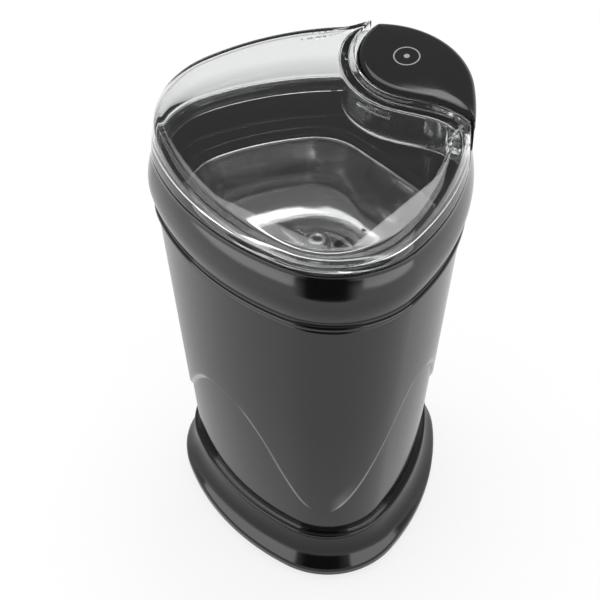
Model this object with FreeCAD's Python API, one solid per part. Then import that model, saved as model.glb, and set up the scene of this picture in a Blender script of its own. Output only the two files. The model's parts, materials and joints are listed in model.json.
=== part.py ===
import FreeCAD, Part
import math
import os
from FreeCAD import Vector

# Electric spice grinder, in millimetres.
# +Z is up. The origin is on the drive shaft's axis, at the table that the foot ring stands on.
# +Y points to the rounded corner that carries the push button, which is the machine's back.

# Plan of the casing: a triangle with bowed sides and round corners, made of six tangent arcs.
side_reach = 45.0          # axis to the middle of a bowed side, at the collar
corner_reach = 53.0        # axis to the tip of a round corner, at the collar
corner_radius = 30.0       # radius of a round corner, at the collar
side_directions = (30.0, 150.0, 270.0)
corner_directions = (90.0, 210.0, 330.0)

# Heights of the casing's pieces
foot_height = 3.0          # rubber that shows under the base
base_height = 18.2         # base skirt, from its lower edge to the body
body_height = 107.8        # body, from the base to the collar
collar_height = 21.4       # collar, from the body to the lid
lid_height = 13.7          # clear lid above the collar, on the axis
lid_slope = 10.1           # degrees that the lid's top is tilted
lid_rise_direction = 125.6 # direction in degrees that the lid's top rises to

# Walls and clearances
body_wall = 2.2
base_wall = 2.4
collar_wall = 4.0
rim_wall = 2.3             # upper part of the collar, round the lid's lip
lid_wall = 2.0
lid_roof = 2.4
lid_round = 3.4            # rounded edge of the lid's top
lid_draft = 1.5            # how far the lid's wall leans in over its full height
fit_gap = 0.3              # between pieces that are parted by hand or that slip into each other
seat_gap = 0.2             # between fixed pieces that only lie near each other
running_gap = 0.05         # radial, round a sliding or turning rod

# Body
body_taper = 5.2           # how far the body narrows from the collar to the base
relief_depth = 0.9         # step of the wave line, lower part set back
# Wave line round the body: direction in degrees, height above the base joint
wave_turns = ((-92.0, 54.8), (-39.0, 12.2), (8.0, 65.3), (75.0, 14.8), (140.0, 58.8), (205.0, 12.8))
rib_width = 3.0
rib_depth = 4.0
rib_length = 20.0          # rib under the motor deck

# Base
skirt_flare = 0.5          # how far the skirt's lower edge stands out past the collar's plan
skirt_edge = 2.4           # upright edge at the bottom of the skirt
bead_width = 1.5           # bead round the foot of the body
base_plate = 2.2
screw_inset = 15.0         # from the collar's plan to the case screws, at the sides
foot_width = 7.0
foot_chamfer = 0.6
socket_height = 3.5        # upstand inside the body's foot
pillar_radius = 4.2
case_screw_radius = 1.6
case_screw_length = 22.0
vent_width = 2.4
vent_length = 24.0
vent_pitch = 5.0
vent_count = 5

# Collar and bowl
bead_rise = 3.0            # bead at the foot of the collar
bead_out = 0.9
bulge_out = 1.85
spigot_height = 7.0
deck_drop = 14.1           # from the collar's rim down to the deck round the bowl
deck_floor = 1.6           # what the deck keeps under the bowl's gasket
bowl_drop = 3.2            # from the deck down to the bowl's rim
bowl_inset = 9.0           # from the collar's plan to the bowl's rim
bowl_lean = 2.0            # how far the bowl's wall leans in over its straight part
bowl_straight = 10.0       # height of the straight part of the bowl's wall
bowl_depth = 23.1
bowl_floor_inset = 26.0    # from the collar's plan to where the bowl's curved wall meets its floor
bowl_wall = 0.8
bowl_flange = 1.6
bowl_rod_gap = 0.9         # from the bowl's straight back rim to the push rod's guide
gasket_thickness = 0.8
collar_boss_radius = 2.8
collar_screw_length = 15.0

# Lid, pocket for the button and the button
lip_height = 3.6
lip_wall = 2.0
valley_x = -1.8            # S-shaped pocket wall: hollow arc, straight part, crest arc
valley_inset = 9.4         # from the back corner's tip to the hollow arc's centre
valley_radius = 24.6
crest_x = 27.6
crest_inset = 43.0         # from the back corner's tip to the crest arc's centre
crest_radius = 19.1
crest_stop = 20.0          # direction in degrees where the crest arc ends, outside the casing
pocket_wall = 2.0
pocket_flange = 4.0        # clear ledge from the pocket wall's front to the button
pocket_floor = 1.8
pocket_rib = 2.4
grip_bar = 2.0             # height of the short bar on the pocket wall
button_gap = 0.5
button_crown = 1.2         # how far the button stands above the lid's top
button_wall = 2.0
button_round = 2.8
button_travel = 3.0
button_apron = 4.8         # depth of the button's edge along the pocket

# Push rod, its guide and the switch
rod_x = 15.5
rod_inset = 18.0           # from the back corner's tip to the rod, along Y
rod_radius = 2.0
rod_rest_gap = 0.4
pusher_radius = 1.6
guide_radius = 3.8
guide_bore = 2.9
guide_height = 7.3
sleeve_radius = 4.4
sleeve_rise = 9.1          # rod guide above the deck
seal_radius = 3.4
seal_height = 2.0
rod_collar_radius = 4.0
rod_collar_height = 1.5
rod_spring_length = 9.0
spring_wire = 0.6
switch_length = 18.0
switch_width = 6.0
switch_height = 10.0
switch_drop = 22.0         # from the motor deck down to the switch's top
lever_arm = 8.0            # lever's pivot to the rod
lever_angle = 20.0
lever_thickness = 0.5
lever_width = 4.0
plunger_arm = 2.5          # lever's pivot to the switch's plunger
plunger_radius = 0.9
lever_pin_radius = 0.6

# Drive: shaft, blade and bearings
shaft_radius = 3.0
bush_radius = 6.0
bush_height = 7.0
seal_outer = 6.0
blade_reach = 19.0
blade_width = 8.0
blade_thickness = 1.4
blade_twist = 14.0
hub_radius = 4.3
hub_height = 5.0

# Motor
bowl_clearance = 9.8       # from the motor deck up to the bowl's floor
deck_plate = 3.0
damper_radius = 3.6
damper_height = 5.5
damper_x = 11.0
damper_y = 19.0
hanger_screw_radius = 1.4
bracket_plate = 3.0
bracket_half_width = 16.0
bracket_reach = 30.0
fan_radius = 23.4
fan_height = 8.0
fan_blades = 9
fan_space = 2.0
stator_outer = 28.0
stator_yoke = 3.5
stator_height = 22.0
armature_radius = 13.8
air_gap = 0.6
pole_half_width = 7.0
pole_shoe = 3.0
shoe_half_angle = 55.0
coil_thickness = 2.6
coil_build = 5.0
slot_count = 12
slot_width = 2.0
slot_depth = 5.0
end_winding = 5.0
commutator_radius = 7.0
commutator_height = 9.0
segment_slit = 0.6
brush_side = 5.0
brush_length = 10.0
holder_wall = 1.4
holder_length = 13.0
tie_screw_radius = 1.5

# Supply
inlet_radius = 3.2         # bore for the supply lead
grommet_radius = 5.2
grommet_length = 13.0
inlet_height = 12.0        # above the table
grommet_stop = 1.0         # how far the grommet's inner collar stands out
grommet_inset = 11.0
clamp_width = 20.0
clamp_depth = 7.0
terminal_length = 22.0
terminal_width = 12.0
terminal_height = 9.0
capacitor_length = 18.0
capacitor_width = 8.5
capacitor_height = 12.0
fuse_radius = 2.0
fuse_length = 12.0
screw_head_ratio = 1.6

# Levels that follow from the heights
base_z = foot_height
joint_z = base_z + base_height
seam_z = joint_z + body_height
rim_z = seam_z + collar_height
deck_z = rim_z - deck_drop
lid_z = rim_z + fit_gap
lid_mid_z = rim_z + lid_height
bowl_top_z = deck_z - bowl_drop
ledge_z = bowl_top_z - bowl_wall - gasket_thickness
deck_low_z = ledge_z - deck_floor
floor_z = bowl_top_z - bowl_depth
lid_rise = math.tan(math.radians(lid_slope))
tall = corner_reach * lid_rise + lid_height + button_crown
motor_deck_z = floor_z - bowl_clearance
plate_top = base_z + base_plate
bracket_top_z = motor_deck_z - damper_height
bracket_low_z = bracket_top_z - bracket_plate
fan_top_z = bracket_low_z - fan_space
fan_low_z = fan_top_z - fan_height
stator_top_z = fan_low_z - end_winding - fan_space
stator_low_z = stator_top_z - stator_height
commutator_top_z = stator_low_z - end_winding - 1.0
commutator_low_z = commutator_top_z - commutator_height
tail_top_z = commutator_low_z - 3.0
tail_low_z = tail_top_z - bracket_plate
shaft_low_z = tail_low_z - 2.0
switch_top_z = motor_deck_z - switch_drop
pivot_z = switch_top_z + lever_pin_radius + 0.6 + fit_gap
blade_z = floor_z + 2.2
collar_screw_inset = collar_wall + collar_boss_radius - 0.3

# Places in the plan that follow from the back corner's tip
valley_y = corner_reach - valley_inset
crest_y = corner_reach - crest_inset
rod_y = corner_reach - rod_inset
bowl_rim_back = rod_y - sleeve_radius - bowl_rod_gap
bowl_back = bowl_rim_back - bowl_flange

# Six arcs of the plan
corner_offset = corner_reach - corner_radius
side_rest = side_reach - corner_radius
side_offset = (corner_offset ** 2 - side_rest ** 2) / (2.0 * side_rest - corner_offset)
side_radius = side_reach + side_offset
side_half = math.degrees(math.atan2(corner_offset * math.sin(math.radians(60.0)),
                                    corner_offset * math.cos(math.radians(60.0)) + side_offset))
CORE = -0.6 * corner_radius


def polar(radius, degrees, z=0.0):
    """Point at a distance and direction from the axis."""
    angle = math.radians(degrees)
    return Vector(radius * math.cos(angle), radius * math.sin(angle), z)


def plan_arcs():
    """Centre, radius, first and last direction of each arc, going round anticlockwise."""
    arcs = []
    for side, corner in zip(side_directions, corner_directions):
        arcs.append((polar(-side_offset, side), side_radius, side - side_half, side + side_half))
        arcs.append((polar(corner_offset, corner), corner_radius,
                     side + side_half, side + 120.0 - side_half))
    return arcs


def plan_wire(shift, z):
    """Outline of the plan, moved out by shift."""
    edges = []
    for centre, radius, first, last in plan_arcs():
        points = [centre + polar(radius + shift, angle, z) for angle in (first, (first + last) / 2.0, last)]
        edges.append(Part.Arc(*points).toShape())
    return Part.Wire(edges)


def plate(shift, low, high):
    """Flat slab with the plan's outline."""
    return Part.Face(plan_wire(shift, low)).extrude(Vector(0.0, 0.0, high - low))


def merged(pieces):
    """One solid from pieces that touch."""
    joined = pieces[0].fuse(list(pieces[1:])) if len(pieces) > 1 else pieces[0]
    return joined.removeSplitter()


def profile_face(profile, centre, radius, direction):
    """Face from (shift, height) points; a third entry marks a point that an arc passes through."""
    places = [centre + polar(radius + entry[0], direction, entry[1]) for entry in profile]
    curved = [len(entry) > 2 for entry in profile]
    edges = []
    index = 0
    count = len(profile)
    while index < count:
        after = (index + 1) % count
        if curved[after]:
            end = (index + 2) % count
            edges.append(Part.Arc(places[index], places[after], places[end]).toShape())
            index += 2
        else:
            edges.append(Part.LineSegment(places[index], places[after]).toShape())
            index += 1
    return Part.Face(Part.Wire(edges))


def band(profile):
    """Ring that carries the profile round the plan."""
    sectors = []
    for centre, radius, first, last in plan_arcs():
        face = profile_face(profile, centre, radius, first)
        sectors.append(face.revolve(centre, Vector(0.0, 0.0, 1.0), last - first))
    return merged(sectors)


def filled(profile, core=CORE):
    """Solid whose outer wall is the profile, from its lowest to its highest point."""
    low = profile[0][1]
    high = profile[-1][1]
    ring = band(list(profile) + [(core, high), (core, low)])
    return merged([ring, plate(core, low, high)])


def cylinder(radius, low, high, x=0.0, y=0.0):
    return Part.makeCylinder(radius, high - low, Vector(x, y, low))


def tube(outer, inner, low, high, x=0.0, y=0.0):
    return cylinder(outer, low, high, x, y).cut(cylinder(inner, low, high, x, y))


def block(low_x, high_x, low_y, high_y, low, high):
    return Part.makeBox(high_x - low_x, high_y - low_y, high - low, Vector(low_x, low_y, low))


def turned(shape, degrees, about=Vector(0.0, 0.0, 0.0), axis=Vector(0.0, 0.0, 1.0)):
    copy = shape.copy()
    copy.rotate(about, axis, degrees)
    return copy


def rounded(shape, radius, chosen):
    """Fillet on the edges that the test picks."""
    edges = [edge for edge in shape.Edges if chosen(edge)]
    return shape.makeFillet(radius, edges)


def slope_z(point):
    """Height of the lid's sloping top over a point of the plan."""
    along = math.radians(lid_rise_direction)
    return lid_mid_z + lid_rise * (point.x * math.cos(along) + point.y * math.sin(along))


def on_slope(edge, lift):
    """Whether the edge lies in the lid's sloping top, moved up by lift."""
    middle = edge.valueAt((edge.FirstParameter + edge.LastParameter) / 2.0)
    points = [vertex.Point for vertex in edge.Vertexes] + [middle]
    return all(abs(point.z - slope_z(point) - lift) < 0.02 for point in points)


def under_slope(lift):
    """Everything below the lid's sloping top, moved up by lift."""
    size = 4.0 * corner_reach
    slab = Part.makeBox(size, size, size, Vector(-size / 2.0, -size / 2.0, -size))
    slab.rotate(Vector(0.0, 0.0, 0.0), polar(1.0, lid_rise_direction - 90.0), lid_slope)
    slab.translate(Vector(0.0, 0.0, lid_mid_z + lift))
    return slab


def behind_s(shift, low, high):
    """Everything behind the S-shaped line, from shift behind it."""
    valley = Vector(valley_x, valley_y, low)
    crest = Vector(crest_x, crest_y, low)
    span = crest - valley
    lean = math.degrees(math.acos((valley_radius + crest_radius) / span.Length))
    tangent = math.degrees(math.atan2(span.y, span.x)) - lean
    inner = valley_radius - shift
    outer = crest_radius + shift
    start = valley + polar(inner, 180.0)
    valley_end = valley + polar(inner, tangent)
    crest_start = crest + polar(outer, tangent + 180.0)
    crest_end = crest + polar(outer, crest_stop)
    hollow = Part.Arc(start, valley + polar(inner, (180.0 + tangent + 360.0) / 2.0), valley_end)
    hump = Part.Arc(crest_start, crest + polar(outer, (tangent + 180.0 + crest_stop) / 2.0), crest_end)
    far = 2.0 * corner_reach
    rest = Part.makePolygon([crest_end, Vector(far, crest_end.y, low), Vector(far, far, low),
                             Vector(-far, far, low), Vector(-far, start.y, low), start])
    straight = Part.LineSegment(valley_end, crest_start).toShape()
    outline = Part.Wire([hollow.toShape(), straight, hump.toShape()] + rest.Edges)
    return Part.Face(outline).extrude(Vector(0.0, 0.0, high - low))


def s_band(front, back, low, high):
    """Wall that follows the S-shaped line."""
    return behind_s(front, low, high).cut(behind_s(back, low - 1.0, high + 1.0))


def body_shift(z):
    """Where the body's outer face stands against the collar's plan."""
    return -body_taper * (seam_z - z) / body_height


def wave_height(degrees):
    """Height of the wave line: eased like half a cosine between its turns."""
    turns = list(wave_turns) + [(wave_turns[0][0] + 360.0, wave_turns[0][1])]
    while degrees < turns[0][0]:
        degrees += 360.0
    for (before, low), (after, high) in zip(turns, turns[1:]):
        if degrees <= after:
            share = (1.0 - math.cos(math.pi * (degrees - before) / (after - before))) / 2.0
            return joint_z + low + (high - low) * share
    return joint_z + turns[-1][1]


def below_wave():
    """Ring-shaped solid under the wave line."""
    start = wave_turns[0][0]
    edges = []
    for radius in (0.5 * side_reach, 1.5 * corner_reach):
        points = [polar(radius, start + 7.5 * step, wave_height(start + 7.5 * step)) for step in range(48)]
        curve = Part.BSplineCurve()
        curve.interpolate(Points=points, PeriodicFlag=True)
        edges.append(curve.toShape())
    surface = Part.makeRuledSurface(edges[0], edges[1])
    return surface.extrude(Vector(0.0, 0.0, -body_height))


def screw(radius, head_z, length, x, y):
    """Screw that points up, its head under head_z."""
    head = cylinder(screw_head_ratio * radius, head_z - radius, head_z, x, y)
    return merged([head, cylinder(radius, head_z, head_z + length, x, y)])


def corner_points(inset):
    """Points on the three corner directions, inset from the collar's plan."""
    return [polar(corner_reach - inset, direction) for direction in corner_directions]


def case_points():
    """Places of the case screws, at the middle of each side."""
    return [polar(side_reach - screw_inset, direction) for direction in side_directions]


def base_ring():
    """Flared skirt with a bead at the foot of the body and a socket for the body inside it."""
    top = body_shift(joint_z)
    low_edge = base_z + skirt_edge
    profile = [(skirt_flare, base_z), (skirt_flare, low_edge),
               (0.45 * (skirt_flare + top) + 0.9, (low_edge + joint_z) / 2.0 + 0.6, "arc"),
               (top + bead_width + 0.5, joint_z - 2.4), (top + bead_width - 0.2, joint_z - 1.9),
               (top + bead_width, joint_z - 0.8, "arc"), (top + 0.4, joint_z),
               (top - body_wall, joint_z), (top - body_wall - fit_gap, joint_z),
               (top - body_wall - fit_gap, joint_z + socket_height),
               (top - 2.0 * body_wall - fit_gap, joint_z + socket_height),
               (top - 2.0 * body_wall - fit_gap, joint_z - base_wall),
               (top - 0.5 * base_wall, joint_z - 2.0 * base_wall),
               (skirt_flare - base_wall, low_edge + base_wall), (skirt_flare - base_wall, base_z)]
    ring = band(profile)
    inlet = Part.makeCylinder(grommet_radius, 2.0 * grommet_length,
                              Vector(0.0, grommet_start(), inlet_height),
                              Vector(0.0, 1.0, 0.0))
    return ring.cut(inlet)


def bottom_plate():
    """Floor of the base with cooling slots and screw pillars."""
    parts = [plate(skirt_flare - base_wall - seat_gap, base_z, plate_top)]
    cutters = []
    for point in case_points():
        parts.append(cylinder(pillar_radius, base_z, joint_z - seat_gap, point.x, point.y))
        cutters.append(cylinder(case_screw_radius, base_z, joint_z, point.x, point.y))
        head_hole = screw_head_ratio * case_screw_radius + seat_gap
        cutters.append(cylinder(head_hole, base_z - 1.0, base_z + case_screw_radius, point.x, point.y))
    for row in range(vent_count):
        y = (row - (vent_count - 1) / 2.0) * vent_pitch
        slot = block(-vent_length / 2.0, vent_length / 2.0, y - vent_width / 2.0, y + vent_width / 2.0,
                     base_z - 1.0, plate_top + 1.0)
        cutters.append(slot)
    return merged(parts).cut(cutters)


def rubber_foot_ring():
    """Non-slip ring that the machine stands on, over the case screws."""
    outer = -screw_inset + foot_width / 2.0
    inner = -screw_inset - foot_width / 2.0
    return band([(inner, foot_chamfer), (inner + foot_chamfer, 0.0), (outer - foot_chamfer, 0.0),
                 (outer, foot_chamfer), (outer, base_z), (inner, base_z)])


def case_screws():
    """Screws from the bottom plate up into the body's bosses."""
    head_z = base_z + case_screw_radius
    screws = [screw(case_screw_radius, head_z, case_screw_length, point.x, point.y)
              for point in case_points()]
    return Part.Compound(screws)


def body_shell():
    """Tapered body with a wave step, ribs that carry the motor deck and bosses for the case screws."""
    low = body_shift(joint_z)
    wall = band([(low, joint_z), (0.0, seam_z), (-body_wall, seam_z), (low - body_wall, joint_z)])
    outside = band([(low - relief_depth, joint_z - 1.0), (-relief_depth, seam_z + 1.0),
                    (5.0, seam_z + 1.0), (5.0, joint_z - 1.0)])
    shell = wall.cut(outside.common(below_wave()))
    boss_top = base_z + case_screw_radius + case_screw_length + 1.5
    web_low = joint_z + socket_height + 0.5
    inside = filled([(low - 1.5, joint_z), (-1.5, seam_z)])
    extras = []
    for point, direction in zip(case_points(), side_directions):
        boss = cylinder(pillar_radius - 1.0, joint_z, boss_top, point.x, point.y)
        web = block(side_reach - screw_inset, side_reach, -rib_width / 2.0, rib_width / 2.0,
                    web_low, boss_top)
        web = turned(web, direction).common(inside)
        hole = cylinder(case_screw_radius, joint_z - 1.0, boss_top - 1.0, point.x, point.y)
        extras.append(merged([boss, web]).cut(hole))
    for direction in side_directions:
        reach = side_reach + body_shift(motor_deck_z) - body_wall
        rib = block(reach - rib_depth, side_reach, -rib_width / 2.0, rib_width / 2.0,
                    motor_deck_z - rib_length, motor_deck_z)
        extras.append(turned(rib, direction).common(inside))
    return merged([shell] + extras)


def bowl_pan(thickness):
    """Solid of the bowl's hollow, grown by a wall thickness."""
    straight_z = bowl_top_z - bowl_straight
    wall_top = -bowl_inset - bowl_flange + thickness
    wall_low = wall_top - bowl_lean
    inner = -bowl_floor_inset
    low = floor_z - thickness
    middle = (inner + 0.74 * (wall_low - inner), low + 0.26 * (straight_z - low), "arc")
    pan = filled([(inner, low), middle, (wall_low, straight_z), (wall_top, bowl_top_z + 1.0)], inner - 0.5)
    front = block(-corner_reach, corner_reach, -corner_reach, bowl_back + thickness, floor_z - 5.0,
                  bowl_top_z + 5.0)
    return pan.common(front)


def front_of(shift, low, high):
    """Slab of the plan moved by shift, cut off square along the bowl's back; shift -bowl_inset is its rim."""
    back = bowl_rim_back + shift + bowl_inset
    keep = block(-corner_reach, corner_reach, -corner_reach, back, low, high)
    return plate(shift, low, high).common(keep)


def collar_ring():
    """Bulged collar with its bead, the deck round the bowl, screw bosses and the rod's guide."""
    foot = seam_z + bead_rise
    spigot_low = seam_z - spigot_height
    spigot_out = body_shift(spigot_low) - body_wall - fit_gap
    profile = [(-collar_wall, spigot_low), (spigot_out, spigot_low), (spigot_out, seam_z), (-0.2, seam_z),
               (bead_out, seam_z + bead_rise / 2.0, "arc"), (0.1, foot),
               (bulge_out, foot + 0.58 * (rim_z - foot), "arc"), (0.0, rim_z - 0.3), (-0.4, rim_z),
               (-rim_wall, rim_z), (-rim_wall, deck_z - 1.0), (-collar_wall, deck_z - 1.0)]
    ring = band(profile)
    deck = plate(-rim_wall - 0.5, deck_low_z, deck_z)
    opening = front_of(-bowl_inset + seat_gap, ledge_z, deck_z + 1.0)
    throat = front_of(-bowl_inset - bowl_flange + bowl_wall + seat_gap, deck_low_z - 1.0, deck_z)
    deck = deck.cut([opening, throat])
    sleeve = cylinder(sleeve_radius, deck_low_z, deck_z + sleeve_rise, rod_x, rod_y)
    bosses = []
    holes = [cylinder(rod_radius + running_gap, deck_low_z - 1.0, rim_z, rod_x, rod_y),
             cylinder(seal_radius, deck_z + sleeve_rise - seal_height, rim_z, rod_x, rod_y)]
    for point in corner_points(collar_screw_inset):
        boss_low = motor_deck_z + deck_plate
        bosses.append(cylinder(collar_boss_radius, boss_low, deck_low_z + 0.5, point.x, point.y))
        holes.append(cylinder(case_screw_radius, boss_low - 1.0, boss_low + collar_screw_length,
                              point.x, point.y))
    return merged([ring, deck, sleeve] + bosses).cut(holes)


def bowl_gasket():
    """Rubber ring that the bowl's rim is pressed on."""
    outer = front_of(-bowl_inset, ledge_z, ledge_z + gasket_thickness)
    inner = front_of(-bowl_inset - bowl_flange + bowl_wall + seat_gap, ledge_z - 1.0, bowl_top_z)
    return outer.cut(inner)


def grinding_bowl():
    """Thin steel bowl with three bowed walls, a flat back and a rim."""
    rim = front_of(-bowl_inset, bowl_top_z - bowl_wall, bowl_top_z)
    grown = block(-corner_reach, corner_reach, -corner_reach, corner_reach, floor_z - 5.0, bowl_top_z)
    outer = bowl_pan(bowl_wall).common(grown)
    return merged([outer, rim]).cut([bowl_pan(0.0), cylinder(seal_outer, floor_z - 5.0, floor_z + 1.0)])


def lid_shell():
    """Clear lid with its lip, and the pocket, guide tube and ribs for the button."""
    top = rim_z + tall + 2.0
    lean = lid_draft * (top - lid_z) / tall
    outer = filled([(0.0, lid_z), (-lean, top)]).common(under_slope(0.0))
    outer = rounded(outer, lid_round, lambda edge: on_slope(edge, 0.0))
    hollow = filled([(-lid_wall, lid_z - 1.0), (-lid_wall - lean, top)]).common(under_slope(-lid_roof))
    hollow = hollow.cut(behind_s(0.0, lid_z - 2.0, top + 2.0))
    pocket = behind_s(pocket_wall, lid_z + pocket_floor, top + 2.0).common(under_slope(-lid_roof))
    gone = behind_s(pocket_flange, lid_z + pocket_floor, top + 2.0)
    step = behind_s(pocket_flange, lid_z - 1.0, top).cut(plate(-rim_wall - fit_gap, lid_z - 2.0, top + 2.0))
    shell = outer.cut([hollow, pocket, gone, step])
    lip_out = -rim_wall - fit_gap
    lip = band([(lip_out, lid_z - lip_height), (lip_out, lid_z + 0.8), (lip_out - lip_wall, lid_z + 0.8),
                (lip_out - lip_wall, lid_z - lip_height)])
    shelf = band([(-lid_wall + 0.6, lid_z), (-lid_wall + 0.6, lid_z + 0.8), (lip_out - 0.4, lid_z + 0.8),
                  (lip_out - 0.4, lid_z)]).cut(behind_s(pocket_wall, lid_z - 1.0, lid_z + 2.0))
    guide = cylinder(guide_radius, lid_z, lid_z + pocket_floor + guide_height, rod_x, rod_y)
    rib = s_band(pocket_wall - 0.4, pocket_flange - 0.2, lid_z + 0.5, lid_mid_z - 0.5).common(
        block(rod_x - 2.0 * pocket_rib, rod_x - pocket_rib, 0.0, corner_reach, lid_z, lid_mid_z))
    bar = s_band(pocket_wall - 0.4, pocket_wall + 0.8, lid_mid_z - 3.0 * grip_bar, lid_mid_z - 2.0 * grip_bar)
    bar = bar.common(block(valley_x - 14.0, valley_x - 3.0, 0.0, corner_reach, lid_z, lid_mid_z))
    solid = merged([shell, lip, shelf, guide, rib, bar])
    spring_well = cylinder(guide_bore, lid_z + pocket_floor, top, rod_x, rod_y)
    bore = cylinder(pusher_radius + running_gap, lid_z - 5.0, top, rod_x, rod_y)
    return solid.cut([spring_well, bore])


def button_cap():
    """Gloss button that fills the pocket's corner, crowned above the lid, with an edge all round."""
    low = lid_z + button_travel + fit_gap
    top = rim_z + tall + 4.0
    lean = lid_draft * (top - lid_z) / tall
    front = pocket_flange + button_gap
    outline = filled([(0.1, lid_z), (0.1 - lean, top)])
    outer = outline.common(under_slope(button_crown)).common(behind_s(front, low, top))
    outer = rounded(outer, button_round, lambda edge: on_slope(edge, button_crown))
    core = filled([(-button_wall, lid_z - 1.0), (-button_wall - lean, top)])
    hollow = core.common(under_slope(button_crown - button_wall)).common(
        behind_s(front + button_wall, low - 1.0, top))
    apron_low = behind_s(front - 1.0, low - 1.0, top).common(plate(-button_wall, low - 1.0, top)).common(
        under_slope(button_crown - button_apron))
    boss = cylinder(guide_bore, guide_top() + button_travel + 0.6, rim_z + tall, rod_x, rod_y).common(
        under_slope(0.0))
    return merged([outer.cut([hollow, apron_low]), boss])


def guide_top():
    return lid_z + pocket_floor + guide_height


def pusher_low():
    return rod_top() + rod_rest_gap


def rod_top():
    return deck_z + sleeve_rise + 0.6


def button_pusher():
    """Pin under the button that reaches through the lid to the push rod."""
    return cylinder(pusher_radius, pusher_low(), guide_top() + button_travel + 0.6, rod_x, rod_y)


def button_spring():
    """Return spring round the pin, inside the guide tube."""
    outer = guide_bore - fit_gap
    return tube(outer, outer - spring_wire, lid_z + pocket_floor, guide_top() + button_travel + 0.6,
                rod_x, rod_y)


def lever_top(arm):
    """Height of the lever's upper face at a distance from its pivot."""
    return pivot_z + arm * math.tan(math.radians(lever_angle)) + lever_thickness


def transfer_rod():
    """Push rod from the collar down to the switch lever, with a collar for its spring."""
    low = lever_top(lever_arm) + fit_gap
    rod = cylinder(rod_radius, low + rod_radius, rod_top(), rod_x, rod_y)
    tip = Part.makeSphere(rod_radius, Vector(rod_x, rod_y, low + rod_radius))
    collar_low = motor_deck_z + deck_plate + rod_spring_length
    collar = cylinder(rod_collar_radius, collar_low, collar_low + rod_collar_height, rod_x, rod_y)
    return merged([rod, tip, collar])


def rod_spring():
    """Return spring between the motor deck and the rod's collar."""
    low = motor_deck_z + deck_plate
    inner = rod_radius + fit_gap
    return tube(inner + spring_wire, inner, low, low + rod_spring_length, rod_x, rod_y)


def rod_seal():
    """Lip seal at the top of the rod's guide."""
    high = deck_z + sleeve_rise
    return tube(seal_radius, rod_radius + running_gap, high - seal_height, high, rod_x, rod_y)


def at_rod(shape):
    """Moves a piece drawn about the origin to the rod, square to the casing's side there."""
    centre = plan_arcs()[0][0]
    facing = math.degrees(math.atan2(rod_y - centre.y, rod_x - centre.x))
    copy = turned(shape, facing - 90.0)
    copy.translate(Vector(rod_x, rod_y, 0.0))
    return copy


def plunger_x():
    return -lever_arm + plunger_arm


def switch_body():
    """Snap switch with two ears for the lever's pin."""
    half = switch_length / 2.0
    case = block(-half, half, -switch_width / 2.0, switch_width / 2.0, switch_top_z - switch_height,
                 switch_top_z)
    ears = []
    for side in (-1.0, 1.0):
        low_y = side * switch_width / 2.0 if side < 0.0 else side * switch_width / 2.0 - 0.8
        ears.append(block(-lever_arm - 1.0, -lever_arm + 1.0, low_y, low_y + 0.8,
                          switch_top_z - 0.5, pivot_z + 1.2))
    holes = [cylinder(plunger_radius + running_gap, switch_top_z - 4.0, switch_top_z + 1.0, plunger_x(), 0.0),
             lever_pin_shape(lever_pin_radius)]
    for share in (-0.6, 0.0, 0.6):
        x = share * half
        ears.append(block(x - 1.5, x + 1.5, -0.4, 0.4, switch_top_z - switch_height - 6.0,
                          switch_top_z - switch_height + 0.5))
    return at_rod(merged([case] + ears).cut(holes))


def lever_pin_shape(radius):
    return Part.makeCylinder(radius, switch_width, Vector(-lever_arm, -switch_width / 2.0, pivot_z),
                             Vector(0.0, 1.0, 0.0))


def lever_pin():
    """Pin that the lever turns on."""
    return at_rod(lever_pin_shape(lever_pin_radius))


def switch_lever():
    """Spring-steel lever with a rolled eye round its pin."""
    reach = lever_arm + 2.5
    blade = block(0.0, reach / math.cos(math.radians(lever_angle)), -lever_width / 2.0, lever_width / 2.0,
                  0.0, lever_thickness)
    eye = Part.makeCylinder(lever_pin_radius + 0.6, lever_width, Vector(0.0, -lever_width / 2.0, 0.0),
                            Vector(0.0, 1.0, 0.0))
    lever = turned(merged([blade, eye]), -lever_angle, axis=Vector(0.0, 1.0, 0.0))
    lever.translate(Vector(-lever_arm, 0.0, pivot_z))
    return at_rod(lever.cut(lever_pin_shape(lever_pin_radius + running_gap)))


def switch_plunger():
    """Small plunger under the lever."""
    high = pivot_z + plunger_arm * math.tan(math.radians(lever_angle)) - fit_gap - lever_pin_radius / 2.0
    return at_rod(cylinder(plunger_radius, switch_top_z - 2.8, high, plunger_x(), 0.0))


def switch_bracket():
    """Sheet bracket that hangs the switch from the motor deck."""
    inner_y = -switch_width / 2.0
    top = motor_deck_z
    half = switch_length / 2.0
    back = block(-half, half, inner_y - 1.0, inner_y, switch_top_z - switch_height, top)
    window = block(-half + 2.0, half - 2.0, inner_y - 2.0, inner_y + 1.0, switch_top_z + 2.0, top - 3.0)
    foot = block(-half, half, inner_y - 5.0, inner_y, top - 1.0, top)
    return at_rod(merged([back.cut(window), foot]))


def drive_shaft():
    """Steel shaft from the tail bearing to the blade."""
    return cylinder(shaft_radius, shaft_low_z, blade_z + blade_thickness + 1.0)


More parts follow.
